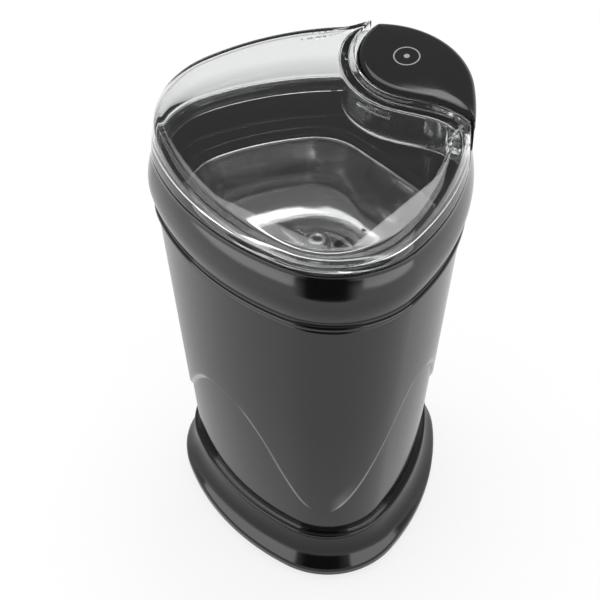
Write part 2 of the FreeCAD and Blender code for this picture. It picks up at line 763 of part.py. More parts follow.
def blade():
    """Two-winged steel blade, one wing twisted up and one down."""
    half = blade_width / 2.0
    root = hub_radius + seat_gap
    wing = Part.makePolygon([Vector(root, -half, 0.0), Vector(blade_reach - 4.0, -half, 0.0),
                             Vector(blade_reach, -0.2 * half, 0.0), Vector(blade_reach - 2.0, half, 0.0),
                             Vector(root, half, 0.0), Vector(root, -half, 0.0)])
    solid = Part.Face(wing).extrude(Vector(0.0, 0.0, blade_thickness))
    solid.translate(Vector(0.0, 0.0, -blade_thickness / 2.0))
    solid.rotate(Vector(0.0, 0.0, 0.0), Vector(1.0, 0.0, 0.0), blade_twist)
    middle = blade_z + blade_thickness / 2.0
    solid.translate(Vector(0.0, 0.0, middle))
    centre = cylinder(root + 1.6, blade_z, blade_z + blade_thickness)
    bore = cylinder(shaft_radius, blade_z - 5.0, blade_z + 5.0)
    return merged([solid, turned(solid, 180.0), centre]).cut(bore)


def blade_hub():
    """Domed nut that holds the blade on the shaft."""
    low = blade_z + blade_thickness
    nut = cylinder(hub_radius, low, low + hub_height)
    nut = rounded(nut, 2.4, lambda edge: edge.BoundBox.ZMin > low + hub_height - 0.1)
    return nut.cut(cylinder(shaft_radius, low - 1.0, low + 1.0))


def shaft_seal():
    """Rubber seal that fills the bowl's floor hole round the shaft."""
    body = tube(seal_outer, shaft_radius + running_gap, floor_z - 4.0, floor_z + 0.4)
    flange = tube(seal_outer + 1.8, shaft_radius + running_gap, floor_z - 4.0, floor_z - bowl_wall)
    return merged([body, flange])


def bush(low):
    """Sintered bearing bush with a rounded outside."""
    ring = tube(bush_radius, shaft_radius + 0.03, low, low + bush_height)
    return rounded(ring, 1.2, lambda edge: edge.BoundBox.XLength > 1.9 * bush_radius)


def upper_bearing():
    return bush(bracket_top_z - bush_height + 2.0)


def lower_bearing():
    return bush(tail_low_z - 2.0)


def motor_deck():
    """Inner deck that the motor hangs from, screwed to the collar."""
    slab = plate(body_shift(motor_deck_z) - body_wall - seat_gap, motor_deck_z, motor_deck_z + deck_plate)
    holes = [cylinder(bush_radius + 3.0, motor_deck_z - 1.0, motor_deck_z + deck_plate + 1.0),
             cylinder(rod_radius + 0.1, motor_deck_z - 1.0, motor_deck_z + deck_plate + 1.0, rod_x, rod_y)]
    for point in corner_points(collar_screw_inset):
        holes.append(cylinder(case_screw_radius, motor_deck_z - 1.0, motor_deck_z + deck_plate + 1.0,
                              point.x, point.y))
    for point in hanger_points():
        holes.append(cylinder(hanger_screw_radius, motor_deck_z - 1.0, motor_deck_z + deck_plate + 1.0,
                              point.x, point.y))
    return slab.cut(holes)


def collar_screws():
    """Screws that hold the motor deck to the collar."""
    screws = [screw(case_screw_radius, motor_deck_z, collar_screw_length, point.x, point.y)
              for point in corner_points(collar_screw_inset)]
    return Part.Compound(screws)


def hanger_points():
    return [Vector(sign_x * damper_x, sign_y * damper_y, 0.0) for sign_x in (-1, 1) for sign_y in (-1, 1)]


def rubber_dampers():
    """Rubber bushes between the motor and its deck."""
    dampers = [tube(damper_radius, hanger_screw_radius, bracket_top_z, motor_deck_z, point.x, point.y)
               for point in hanger_points()]
    return Part.Compound(dampers)


def hanger_screws():
    """Screws through the dampers into the motor deck."""
    screws = [screw(hanger_screw_radius, bracket_low_z, bracket_plate + damper_height + deck_plate,
                    point.x, point.y) for point in hanger_points()]
    return Part.Compound(screws)


def tie_points():
    radius = stator_outer - stator_yoke / 2.0
    return [Vector(0.0, side * radius, 0.0) for side in (-1.0, 1.0)]


def motor_bracket(low, cup_low, cup_high):
    """Motor end bracket with a cup for its bearing."""
    slab = block(-bracket_half_width, bracket_half_width, -bracket_reach, bracket_reach, low,
                 low + bracket_plate)
    slab = slab.common(cylinder(bracket_reach, low - 1.0, low + bracket_plate + 1.0))
    cup = cylinder(bush_radius + 2.0, cup_low, cup_high)
    holes = [cylinder(bush_radius, cup_low - 1.0, cup_high + 1.0)]
    for point in tie_points():
        holes.append(cylinder(tie_screw_radius, low - 1.0, low + bracket_plate + 1.0, point.x, point.y))
    return merged([slab, cup]).cut(holes)


def upper_bracket():
    bracket = motor_bracket(bracket_low_z, bracket_low_z, bracket_top_z + 2.0)
    holes = [cylinder(hanger_screw_radius, bracket_low_z - 1.0, bracket_top_z + 1.0, point.x, point.y)
             for point in hanger_points()]
    return bracket.cut(holes)


def lower_bracket():
    return motor_bracket(tail_low_z, tail_low_z - 2.0, tail_top_z)


def tie_screws():
    """Long screws that clamp the brackets on the stator."""
    length = bracket_top_z - tail_low_z + 1.0
    return Part.Compound([screw(tie_screw_radius, tail_low_z, length, point.x, point.y)
                          for point in tie_points()])


def tie_spacers():
    """Tubes round the tie screws, above and below the stator."""
    pairs = [(tail_top_z, stator_low_z), (stator_top_z, bracket_low_z)]
    outer = tie_screw_radius + 0.9
    return Part.Compound([tube(outer, tie_screw_radius, low, high, point.x, point.y)
                          for low, high in pairs for point in tie_points()])


def stator_core():
    """Steel yoke with two poles and their curved shoes."""
    inner = stator_outer - stator_yoke
    bore = armature_radius + air_gap
    yoke = tube(stator_outer, inner, stator_low_z, stator_top_z)
    shoe_ring = tube(bore + pole_shoe, bore, stator_low_z, stator_top_z)
    parts = [yoke]
    for direction in (0.0, 180.0):
        neck = block(bore + 1.0, inner + 1.0, -pole_half_width, pole_half_width, stator_low_z, stator_top_z)
        wedge_far = 2.0 * stator_outer
        tip = Vector(0.0, 0.0, stator_low_z)
        wedge = Part.makePolygon([tip, polar(wedge_far, -shoe_half_angle, stator_low_z),
                                  polar(wedge_far, shoe_half_angle, stator_low_z), tip])
        shoe = shoe_ring.common(Part.Face(wedge).extrude(Vector(0.0, 0.0, stator_height)))
        parts.append(turned(merged([neck, shoe]), direction))
    holes = [cylinder(tie_screw_radius, stator_low_z - 1.0, stator_top_z + 1.0, point.x, point.y)
             for point in tie_points()]
    return merged(parts).cut(holes)


def field_coils():
    """Copper coil round each pole."""
    start = armature_radius + air_gap + pole_shoe + seat_gap
    inner = block(start - 1.0, start + coil_thickness + 1.0, -pole_half_width - seat_gap,
                  pole_half_width + seat_gap, stator_low_z - seat_gap, stator_top_z + seat_gap)
    outer = block(start, start + coil_thickness, -pole_half_width - coil_build, pole_half_width + coil_build,
                  stator_low_z - coil_build + 1.0, stator_top_z + coil_build - 1.0)
    coil = outer.cut(inner)
    return Part.Compound([coil, turned(coil, 180.0)])


def armature_core():
    """Slotted steel stack on the shaft."""
    low = stator_low_z - 0.5
    high = stator_top_z + 0.5
    stack = tube(armature_radius, shaft_radius, low, high)
    slots = []
    for step in range(slot_count):
        slot = block(armature_radius - slot_depth, armature_radius + 1.0, -slot_width / 2.0, slot_width / 2.0,
                     low - 1.0, high + 1.0)
        slots.append(turned(slot, step * 360.0 / slot_count))
    return stack.cut(slots)


def armature_windings():
    """Wound ends of the armature, above and below its stack."""
    outer = armature_radius - 1.3
    ends = []
    for low, high in ((stator_low_z - end_winding, stator_low_z - 0.5),
                      (stator_top_z + 0.5, stator_top_z + end_winding)):
        ring = tube(outer, shaft_radius, low, high)
        ends.append(rounded(ring, 1.6, lambda edge: edge.BoundBox.XLength > 1.9 * outer))
    return Part.Compound(ends)


def commutator():
    """Copper commutator with its slits."""
    barrel = tube(commutator_radius, shaft_radius, commutator_low_z, commutator_top_z)
    slits = []
    for step in range(slot_count):
        slit = block(commutator_radius - 1.0, commutator_radius + 1.0, -segment_slit / 2.0,
                     segment_slit / 2.0, commutator_low_z - 1.0, commutator_top_z - 1.5)
        slits.append(turned(slit, (step + 0.5) * 360.0 / slot_count))
    return barrel.cut(slits)


def cooling_fan():
    """Fan under the upper bracket, blades on a thin disc."""
    disc = tube(fan_radius, shaft_radius, fan_top_z - 1.2, fan_top_z)
    hub = tube(shaft_radius + 3.0, shaft_radius, fan_low_z, fan_top_z)
    blades = []
    for step in range(fan_blades):
        wing = block(shaft_radius + 2.0, fan_radius - 0.5, -0.6, 0.6, fan_low_z + 1.0, fan_top_z - 0.6)
        blades.append(turned(wing, step * 360.0 / fan_blades))
    return merged([disc, hub] + blades)


def brush_z():
    return (commutator_low_z + commutator_top_z) / 2.0 - 0.5


def brush_box(first, last, half, z):
    """Square bar along X from first to last."""
    return block(first, last, -half, half, z - half, z + half)


def carbon_brushes():
    """Two brushes that bear on the commutator."""
    start = commutator_radius + fit_gap
    brush = brush_box(start, start + brush_length, brush_side / 2.0, brush_z())
    return Part.Compound([brush, turned(brush, 180.0)])


def brush_holders():
    """Square brass sleeves with a foot on the lower bracket."""
    start = commutator_radius + 1.6
    half = brush_side / 2.0
    z = brush_z()
    sleeve = brush_box(start, start + holder_length, half + holder_wall, z)
    foot = block(start + 1.0, start + 6.0, -half, half, tail_top_z, z - half)
    cavity = brush_box(start - 1.0, start + holder_length - holder_wall, half, z)
    holder = merged([sleeve, foot]).cut(cavity)
    return Part.Compound([holder, turned(holder, 180.0)])


def brush_springs():
    """Springs behind the brushes, inside their sleeves."""
    start = commutator_radius + fit_gap + brush_length
    end = commutator_radius + 1.6 + holder_length - holder_wall
    radius = brush_side / 2.0 - 0.5
    outer = Part.makeCylinder(radius, end - start, Vector(start, 0.0, brush_z()), Vector(1.0, 0.0, 0.0))
    inner = Part.makeCylinder(radius - spring_wire, end - start, Vector(start, 0.0, brush_z()),
                              Vector(1.0, 0.0, 0.0))
    spring = outer.cut(inner)
    return Part.Compound([spring, turned(spring, 180.0)])


def grommet_start():
    return corner_reach - grommet_inset


def cable_grommet():
    """Rubber bush in the back of the base, the way in for the supply lead."""
    start = Vector(0.0, grommet_start(), inlet_height)
    along = Vector(0.0, 1.0, 0.0)
    sleeve = Part.makeCylinder(grommet_radius, grommet_length, start, along)
    stop = Part.makeCylinder(grommet_radius + grommet_stop, 1.4, start, along)
    bore = Part.makeCylinder(inlet_radius, grommet_length, start, along)
    return merged([sleeve, stop]).cut(bore)


def clamp_y():
    return grommet_start() - 4.0 - clamp_depth


def cord_clamp():
    """Bar over the supply lead's place, on two posts of its own."""
    half = clamp_width / 2.0
    body = block(-half, half, clamp_y(), clamp_y() + clamp_depth, plate_top,
                 inlet_height + inlet_radius + 2.0)
    passage = block(-inlet_radius, inlet_radius, clamp_y() - 1.0, clamp_y() + clamp_depth + 1.0,
                    inlet_height - inlet_radius, inlet_height + inlet_radius)
    return body.cut([passage] + [cylinder(1.2, plate_top - 1.0, inlet_height + 9.0, point.x, point.y)
                                 for point in clamp_points()])


def clamp_points():
    reach = (clamp_width / 2.0 + inlet_radius) / 2.0
    return [Vector(side * reach, clamp_y() + clamp_depth / 2.0, 0.0) for side in (-1.0, 1.0)]


def clamp_screws():
    """Screws that press the clamp down."""
    top = inlet_height + inlet_radius + 2.0
    screws = []
    for point in clamp_points():
        stem = cylinder(1.2, plate_top, top, point.x, point.y)
        screws.append(merged([stem, cylinder(2.2, top, top + 1.4, point.x, point.y)]))
    return Part.Compound(screws)


def terminal_block():
    """Terminal block beside the lead, with its wire holes."""
    x = -terminal_length - 4.0
    case = block(x, x + terminal_length, -terminal_width - 8.0, -8.0, plate_top, plate_top + terminal_height)
    holes = []
    for step in range(3):
        centre = Vector(x + (step + 0.5) * terminal_length / 3.0, -terminal_width - 9.0,
                        plate_top + terminal_height / 2.0)
        holes.append(Part.makeCylinder(1.6, terminal_width + 2.0, centre, Vector(0.0, 1.0, 0.0)))
    return case.cut(holes)


def suppression_capacitor():
    """Boxed capacitor across the supply."""
    case = block(6.0, 6.0 + capacitor_length, -capacitor_width - 14.0, -14.0, plate_top,
                 plate_top + capacitor_height)
    return rounded(case, 0.8, lambda edge: edge.BoundBox.ZLength > 1.0)


def thermal_fuse():
    """Thermal fuse against the field coil."""
    x = -armature_radius - air_gap - pole_shoe - seat_gap - coil_thickness / 2.0
    start = Vector(x, -fuse_length / 2.0, stator_top_z + coil_build - 1.0 + fuse_radius)
    return Part.makeCylinder(fuse_radius, fuse_length, start, Vector(0.0, 1.0, 0.0))


SUBPARTS = (base_ring, bottom_plate, rubber_foot_ring, case_screws, body_shell, collar_ring, bowl_gasket,
            grinding_bowl, lid_shell, button_cap, button_pusher, button_spring, transfer_rod, rod_spring,
            rod_seal, switch_body, lever_pin, switch_lever, switch_plunger, switch_bracket, drive_shaft,
            blade, blade_hub, shaft_seal, upper_bearing, lower_bearing, motor_deck, collar_screws,
            rubber_dampers, hanger_screws, upper_bracket, lower_bracket, tie_screws, tie_spacers,
            stator_core, field_coils, armature_core, armature_windings, commutator, cooling_fan,
            carbon_brushes, brush_holders, brush_springs, cable_grommet, cord_clamp, clamp_screws,
            terminal_block, suppression_capacitor, thermal_fuse)

os.makedirs("parts", exist_ok=True)
for make in SUBPARTS:
    shape = make()
    bounds = shape.BoundBox
    print(make.__name__, "solids", len(shape.Solids), "valid", shape.isValid(),
          "volume", round(shape.Volume, 1), "z", round(bounds.ZMin, 2), round(bounds.ZMax, 2))
    shape.exportStep("parts/" + make.__name__ + ".step")
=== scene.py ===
# %% [markdown]
# # An electric spice grinder in gloss black and clear plastic
# The grinder is a bulged black tower on a flared foot. A clear lid covers a steel bowl, and the
# push button fills the back corner of the lid, so that the blade only turns while the lid is on.
# Every piece below is a surface worked out from a formula, in the same frame as the solid model.

# %% Load the solid model
import json
import math
import bmesh
import bpy
import numpy as np
from mathutils import Matrix, Vector


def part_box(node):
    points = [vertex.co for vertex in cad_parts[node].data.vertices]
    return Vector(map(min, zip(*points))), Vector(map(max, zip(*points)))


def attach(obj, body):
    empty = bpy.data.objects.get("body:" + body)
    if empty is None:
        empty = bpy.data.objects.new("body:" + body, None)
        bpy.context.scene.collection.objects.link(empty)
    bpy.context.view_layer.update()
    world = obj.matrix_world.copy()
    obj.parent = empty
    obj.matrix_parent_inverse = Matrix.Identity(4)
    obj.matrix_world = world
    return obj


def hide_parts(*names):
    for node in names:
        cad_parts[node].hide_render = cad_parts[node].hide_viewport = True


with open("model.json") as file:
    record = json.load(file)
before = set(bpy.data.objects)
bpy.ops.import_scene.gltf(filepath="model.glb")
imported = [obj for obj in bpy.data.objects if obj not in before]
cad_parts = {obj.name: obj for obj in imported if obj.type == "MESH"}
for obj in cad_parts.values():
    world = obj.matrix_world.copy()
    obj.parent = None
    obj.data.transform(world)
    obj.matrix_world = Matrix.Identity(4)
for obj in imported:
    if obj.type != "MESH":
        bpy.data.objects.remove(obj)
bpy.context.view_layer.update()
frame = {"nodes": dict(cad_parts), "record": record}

MM = 0.001

# %% [markdown]
# ## Heights
# The lid, bowl and collar have to meet the solid model to a fraction of a millimetre. Their
# levels are read from its boxes, so a changed solid moves the dressed piece with it.

# %% Levels read from the solid model, in millimetres
def low_of(node):
    """Lowest height of a solid, in millimetres."""
    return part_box(node)[0].z / MM


def high_of(node):
    """Highest height of a solid, in millimetres."""
    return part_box(node)[1].z / MM


base_z = low_of("base_ring")
joint_z = low_of("body_shell")
seam_z = high_of("body_shell")
bowl_z = high_of("grinding_bowl")
deck_z = bowl_z + 3.2
rim_z = high_of("collar_ring")
lid_z = rim_z + 0.3
floor_z = low_of("grinding_bowl") + 0.8
blade_z = low_of("blade_hub") - 1.4
print("base %.1f, joint %.1f, seam %.1f, deck %.1f, rim %.1f, floor %.1f, blade %.1f"
      % (base_z, joint_z, seam_z, deck_z, rim_z, floor_z, blade_z))

# %% [markdown]
# ## The plan that every ring shares
# Seen from above the casing is a triangle with bowed sides and round corners: three long arcs
# and three short ones that touch without a kink. It could be drawn as a curve object and
# bevelled, but a table of points with their outward directions lets every ring of the machine
# be the same outline, moved in or out by a few millimetres.

# %% Points round the plan
SIDE_REACH, CORNER_REACH, CORNER_RADIUS = 45.0, 53.0, 30.0
CORNER_OFFSET = CORNER_REACH - CORNER_RADIUS
SIDE_REST = SIDE_REACH - CORNER_RADIUS
SIDE_OFFSET = (CORNER_OFFSET ** 2 - SIDE_REST ** 2) / (2.0 * SIDE_REST - CORNER_OFFSET)
SIDE_RADIUS = SIDE_REACH + SIDE_OFFSET
SIDE_HALF = math.atan2(CORNER_OFFSET * math.sin(math.pi / 3),
                       CORNER_OFFSET * math.cos(math.pi / 3) + SIDE_OFFSET)


def toward(angle):
    """Unit vectors (cos, sin) for an array of angles in radians."""
    return np.stack([np.cos(angle), np.sin(angle)], -1)


def plan_points(count):
    """Even steps round six tangent arcs: a point is its arc's centre plus radius times direction.
    Returns the points and their outward directions."""
    sides = np.radians([30.0, 150.0, 270.0])
    turn = 2.0 * np.pi / 3.0
    first = np.stack([sides - SIDE_HALF, sides + SIDE_HALF], 1).ravel()
    last = np.stack([sides + SIDE_HALF, sides + turn - SIDE_HALF], 1).ravel()
    centre = np.stack([-SIDE_OFFSET * toward(sides), CORNER_OFFSET * toward(sides + turn / 2)], 1)
    radius = np.tile([SIDE_RADIUS, CORNER_RADIUS], 3)
    ends = np.concatenate([[0.0], np.cumsum(radius * (last - first))])
    run = np.linspace(0.0, ends[-1], count, endpoint=False)
    arc = np.searchsorted(ends, run, side="right") - 1
    out = toward(first[arc] + (run - ends[arc]) / radius[arc])
    return centre.reshape(-1, 2)[arc] + radius[arc, None] * out, out


outline, outward = plan_points(540)
print("plan: %.1f mm round" % np.linalg.norm(np.roll(outline, -1, 0) - outline, axis=1).sum())

# %% [markdown]
# ## Profiles with soft corners
# Moulded plastic has no sharp edge, because a mould is cut with a round tool. Each profile is a
# short list of corners, and every corner is swapped for a small arc. A bevel modifier would do
# the same later, but here the arc is part of the formula and its size is known.

# %% Rounded corners on a profile
def moulded(corners, closed=True, steps=5):
    """Corners are (across, height, radius). Each becomes the arc that touches both of its straight
    runs, with one more point before and after it so that the shading stays flat there."""
    places = np.array([corner[:2] for corner in corners], float)
    count = len(corners)
    rows = []
    for index, corner in enumerate(corners):
        at_end = not closed and index in (0, count - 1)
        if corner[2] <= 0.0 or at_end:
            rows.append(places[index][None])
            continue
        back = places[index - 1] - places[index]
        on = places[(index + 1) % count] - places[index]
        back_length, on_length = np.linalg.norm(back), np.linalg.norm(on)
        back, on = back / back_length, on / on_length
        half = math.acos(np.clip(back @ on, -0.9999, 0.9999)) / 2.0
        reach = min(corner[2] / math.tan(half), 0.46 * back_length, 0.46 * on_length)
        radius = reach * math.tan(half)
        away = (back + on) / np.linalg.norm(back + on) * radius / math.sin(half)
        start, stop = back * reach - away, on * reach - away
        turn = math.atan2(start[0] * stop[1] - start[1] * stop[0], start @ stop)
        sweep = math.atan2(start[1], start[0]) + turn * np.linspace(0.0, 1.0, steps)
        before = places[index] + back * min(reach * 1.25, 0.49 * back_length)
        after = places[index] + on * min(reach * 1.25, 0.49 * on_length)
        rows += [before[None], places[index] + away + radius * toward(sweep), after[None]]
    return np.concatenate(rows)


def swell(start, stop, bulge, steps=14):
    """Bowed run between two profile points: the straight line plus bulge times a half sine."""
    share = np.linspace(0.0, 1.0, steps)[:, None]
    start, stop = np.array(start, float), np.array(stop, float)
    side = np.array([stop[1] - start[1], start[0] - stop[0]]) / np.linalg.norm(stop - start)
    return start + (stop - start) * share + side * bulge * np.sin(math.pi * share)


def around(profile, loop=None, out=None):
    """Profile carried round a loop: the loop's point plus across times its outward direction,
    at the profile's height. Gives a grid of rows by columns."""
    loop = outline if loop is None else loop
    out = outward if out is None else out
    flat = loop[None] + profile[:, None, :1] * out[None]
    height = np.broadcast_to(profile[:, None, 1:], flat.shape[:2] + (1,))
    return np.concatenate([flat, height], -1)


# %% [markdown]
# ## From a grid to a mesh
# A grid of points turns into quads between neighbouring rows and columns. A piece may be joined
# from several grids whose edges meet: points that coincide are merged, and then the faces of
# each closed skin are turned to point outwards.

# %% Grids and pieces
def grid_skin(grid, ring=True, fans=True):
    """Quads over a grid whose columns close. Rows close too on a ring; otherwise each end gets a
    fan to the middle of its row, or stays open for a patch."""
    rows, columns = grid.shape[:2]
    row = np.arange(rows if ring else rows - 1)[:, None]
    column = np.arange(columns)[None]
    after = (column + 1) % columns
    above = (row + 1) % rows
    quads = np.stack([row * columns + column, row * columns + after,
                      above * columns + after, above * columns + column], -1).reshape(-1, 4)
    points = grid.reshape(-1, 3)
    if ring or not fans:
        return points, [quads]
    middle = np.stack([grid[0].mean(0), grid[-1].mean(0)])
    top = (rows - 1) * columns
    low = np.stack([np.full(columns, rows * columns), after[0], column[0]], -1)
    high = np.stack([np.full(columns, rows * columns + 1), top + column[0], top + after[0]], -1)
    return np.concatenate([points, middle]), [quads, low, high]


def patch_skin(grid):
    """Quads over an open grid."""
    rows, columns = grid.shape[:2]
    corner = (np.arange(rows - 1)[:, None] * columns + np.arange(columns - 1)[None]).reshape(-1, 1)
    return grid.reshape(-1, 3), [corner + np.array([[0, 1, columns + 1, columns]])]


def make_piece(name, skins, body, slot, stands_for=()):
    """One object from skins given in millimetres: merged, turned outwards, smooth, riding a body."""
    starts = np.cumsum([0] + [len(points) for points, _ in skins])
    blocks = [block + start for start, (_, faces) in zip(starts, skins) for block in faces]
    sizes = np.concatenate([np.full(len(block), block.shape[1]) for block in blocks])
    places = np.concatenate([points for points, _ in skins]) * MM
    mesh = bpy.data.meshes.new(name)
    mesh.vertices.add(len(places))
    mesh.vertices.foreach_set("co", places.ravel())
    mesh.loops.add(int(sizes.sum()))
    mesh.loops.foreach_set("vertex_index", np.concatenate([block.ravel() for block in blocks]))
    mesh.polygons.add(len(sizes))
    mesh.polygons.foreach_set("loop_start", np.cumsum(sizes) - sizes)
    mesh.update(calc_edges=True)
    work = bmesh.new()
    work.from_mesh(mesh)
    bmesh.ops.remove_doubles(work, verts=work.verts, dist=1e-6)
    bmesh.ops.dissolve_degenerate(work, edges=work.edges, dist=1e-7)
    bmesh.ops.recalc_face_normals(work, faces=work.faces)
    open_edges = sum(not edge.is_manifold for edge in work.edges)
    volume = work.calc_volume(signed=True) / MM ** 3
    work.to_mesh(mesh)
    work.free()
    mesh.shade_smooth()
    mesh.materials.append(finishes[slot])
    made = bpy.data.objects.new(name, mesh)
    bpy.context.scene.collection.objects.link(made)
    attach(made, body)
    if stands_for:
        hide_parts(*stands_for)
    print("%s: %d faces, %.0f mm3, %d open edges" % (name, len(mesh.polygons), volume, open_edges))
    return made


# %% [markdown]
# ## One helper for materials
# A finish is a small network of nodes. Colours are written as the eye sees them, in hex, and one
# function turns them into the linear light that Blender mixes. One more adds a node, sets it and
# links it, so that each finish reads as a short list.

# %% Colours and nodes
def linear(code):
    """Hex colour to linear light: a channel under 0.04045 is divided by 12.92, and any other is
    ((channel + 0.055) / 1.055) to the power 2.4."""
    channels = np.array([int(code[place:place + 2], 16) for place in (1, 3, 5)]) / 255.0
    light = np.where(channels < 0.04045, channels / 12.92, ((channels + 0.055) / 1.055) ** 2.4)
    return (*light.tolist(), 1.0)


def add(tree, kind, sockets=None, tones=(), **settings):
    """Adds a node: settings are its own properties, sockets the values or links of its inputs, and
    tones the two hex colours at the ends of a colour ramp."""
    made = tree.nodes.new("ShaderNode" + kind)
    for key, value in settings.items():
        setattr(made, key, value)
    for key, value in (sockets or {}).items():
        if isinstance(value, bpy.types.NodeSocket):
            tree.links.new(value, made.inputs[key])
        else:
            made.inputs[key].default_value = value
    if tones:
        for element, code in zip(made.color_ramp.elements, tones):
            element.color = linear(code)
    return made


def start_finish(name):
    """New material with only its output; returns it, its tree and Object coordinates."""
    made = bpy.data.materials.new(name)
    made.use_nodes = True
    made.node_tree.nodes.clear()
    place = add(made.node_tree, "TexCoord").outputs["Object"]
    return made, made.node_tree, place


def close_finish(tree, surface):
    """Links the last shader to the material's output."""
    tree.links.new(surface, add(tree, "OutputMaterial").inputs["Surface"])


def patterned(tree, tones, shade, pattern, shine, bump, constants):
    """Ends a finish: colour between two tones by shade; roughness between the two values of shine,
    and relief of (strength, depth in metres), both by pattern; constants are the shader's own."""
    colour = add(tree, "ValToRGB", {"Fac": shade}, tones)
    dull = add(tree, "MapRange", {"Value": pattern, "To Min": shine[0], "To Max": shine[1]})
    relief = add(tree, "Bump", {"Height": pattern, "Strength": bump[0], "Distance": bump[1]})
    skin = add(tree, "BsdfPrincipled", {**constants, "Base Color": colour.outputs["Color"],
                                        "Roughness": dull.outputs["Result"],
                                        "Normal": relief.outputs["Normal"]})
    close_finish(tree, skin.outputs["BSDF"])


finishes = {}

# %% [markdown]
# ## Gloss black ABS
# The casing is injection-moulded ABS with a mirror-polished mould, IOR about 1.54. The eye gets
# a black that is carried by its reflections, slightly wavy from the way that plastic shrinks,
# with faint handling marks that dull it in patches. The waves are about 9 mm across. The body's
# wave-shaped step shows a light line in the studio. Here a painted highlight stands in for it, a
# grey along the edge where the mesh marks it with an attribute: the real edge may be as black as the
# rest.

# %% Gloss black ABS, for body, trim and button
def gloss_abs(name, dark, worn, roughness):
    """Moulded black: colour between two blacks by a slow noise, roughness by a finer one. Where the
    mesh carries an attribute called edge, the black turns to a painted highlight of light grey."""
    made, tree, place = start_finish(name)
    slow = add(tree, "TexNoise", {"Vector": place, "Scale": 1.0 / 0.03, "Detail": 3.0})
    marks = add(tree, "TexNoise", {"Vector": place, "Scale": 1.0 / 0.012, "Detail": 5.0,
                                   "Roughness": 0.6})
    waves = add(tree, "TexNoise", {"Vector": place, "Scale": 1.0 / 0.009, "Detail": 1.0})
    colour = add(tree, "ValToRGB", {"Fac": slow.outputs["Fac"]}, (dark, worn))
    dull = add(tree, "MapRange", {"Value": marks.outputs["Fac"], "From Min": 0.35, "From Max": 0.75,
                                  "To Min": roughness, "To Max": roughness + 0.05})
    relief = add(tree, "Bump", {"Height": waves.outputs["Fac"], "Strength": 0.04, "Distance": 0.0006})
    # Painted highlight: the edge attribute mixes in a light grey, #8e8e8f, in place of the light line
    # that the wave step catches.
    edge = add(tree, "Attribute", attribute_name="edge")
    shade = add(tree, "Mix", {0: edge.outputs["Fac"], 6: colour.outputs["Color"],
                              7: linear("#8e8e8f")}, data_type="RGBA")
    skin = add(tree, "BsdfPrincipled", {"Base Color": shade.outputs[2], "IOR": 1.54,
                                        "Roughness": dull.outputs["Result"],
                                        "Normal": relief.outputs["Normal"]})
    close_finish(tree, skin.outputs["BSDF"])
    return made


# The body's material shows the painted highlight along the wave step; the trim's meshes carry no edge
# attribute, so the trim stays black.
finishes["body_plastic"] = gloss_abs("gloss_black_abs_body_painted_highlight", "#121213", "#161617", 0.07)
finishes["trim_plastic"] = gloss_abs("gloss_black_abs_trim", "#09090a", "#0d0d0e", 0.11)

# %% [markdown]
# ## The button's mark
# A printed mark shows where to press: a thin ring with a dot, pad-printed in light grey ink. It
# is drawn by distance from its centre, in the button's own coordinates, so that it stays put
# while the button moves.

# %% Gloss black ABS with a printed ring
MARK_CENTRE, MARK_RADIUS, MARK_LINE, MARK_DOT = (-2.7, 38.3), 4.0, 0.42, 1.0


def printed_abs(name):
    """Ink where the distance from the ring, or from the dot, is under half a line's width."""
    made, tree, place = start_finish(name)
    centred = add(tree, "Mapping", {"Vector": place, "Scale": (1.0, 1.0, 0.0),
                                    "Location": (-MARK_CENTRE[0] * MM, -MARK_CENTRE[1] * MM, 0.0)})
    away = add(tree, "VectorMath", {"Vector": centred.outputs["Vector"]}, operation="LENGTH")
    past_ring = add(tree, "Math", {0: away.outputs["Value"], 1: MARK_RADIUS * MM}, operation="SUBTRACT")
    off_ring = add(tree, "Math", {0: past_ring.outputs["Value"]}, operation="ABSOLUTE")
    on_ring = add(tree, "MapRange", {"Value": off_ring.outputs["Value"], "To Min": 1.0, "To Max": 0.0,
                                     "From Min": MARK_LINE * 0.4 * MM, "From Max": MARK_LINE * 0.6 * MM})
    on_dot = add(tree, "MapRange", {"Value": away.outputs["Value"], "To Min": 1.0, "To Max": 0.0,
                                    "From Min": MARK_DOT * 0.85 * MM, "From Max": MARK_DOT * MM})
    ink = add(tree, "Math", {0: on_ring.outputs["Result"], 1: on_dot.outputs["Result"]},
              operation="MAXIMUM")
    marks = add(tree, "TexNoise", {"Vector": place, "Scale": 1.0 / 0.012, "Detail": 5.0})
    dull = add(tree, "MapRange", {"Value": marks.outputs["Fac"], "From Min": 0.35, "From Max": 0.75,
                                  "To Min": 0.08, "To Max": 0.14})
    shade = add(tree, "Mix", {0: ink.outputs["Value"], 6: linear("#0d0d0e"), 7: linear("#9c9c9c")},
                data_type="RGBA")
    skin = add(tree, "BsdfPrincipled", {"Base Color": shade.outputs[2], "IOR": 1.54,
                                        "Roughness": dull.outputs["Result"]})
    close_finish(tree, skin.outputs["BSDF"])
    return made


finishes["button_plastic"] = printed_abs("gloss_black_abs_button")

# %% [markdown]
# ## Clear acrylic
# The lid is moulded in clear acrylic, IOR 1.49. It is glass to the eye, so it bends what lies
# behind it, and lamps reach through it. Fine scratches from cleaning, about 4 mm apart, give its
# surface a little life.

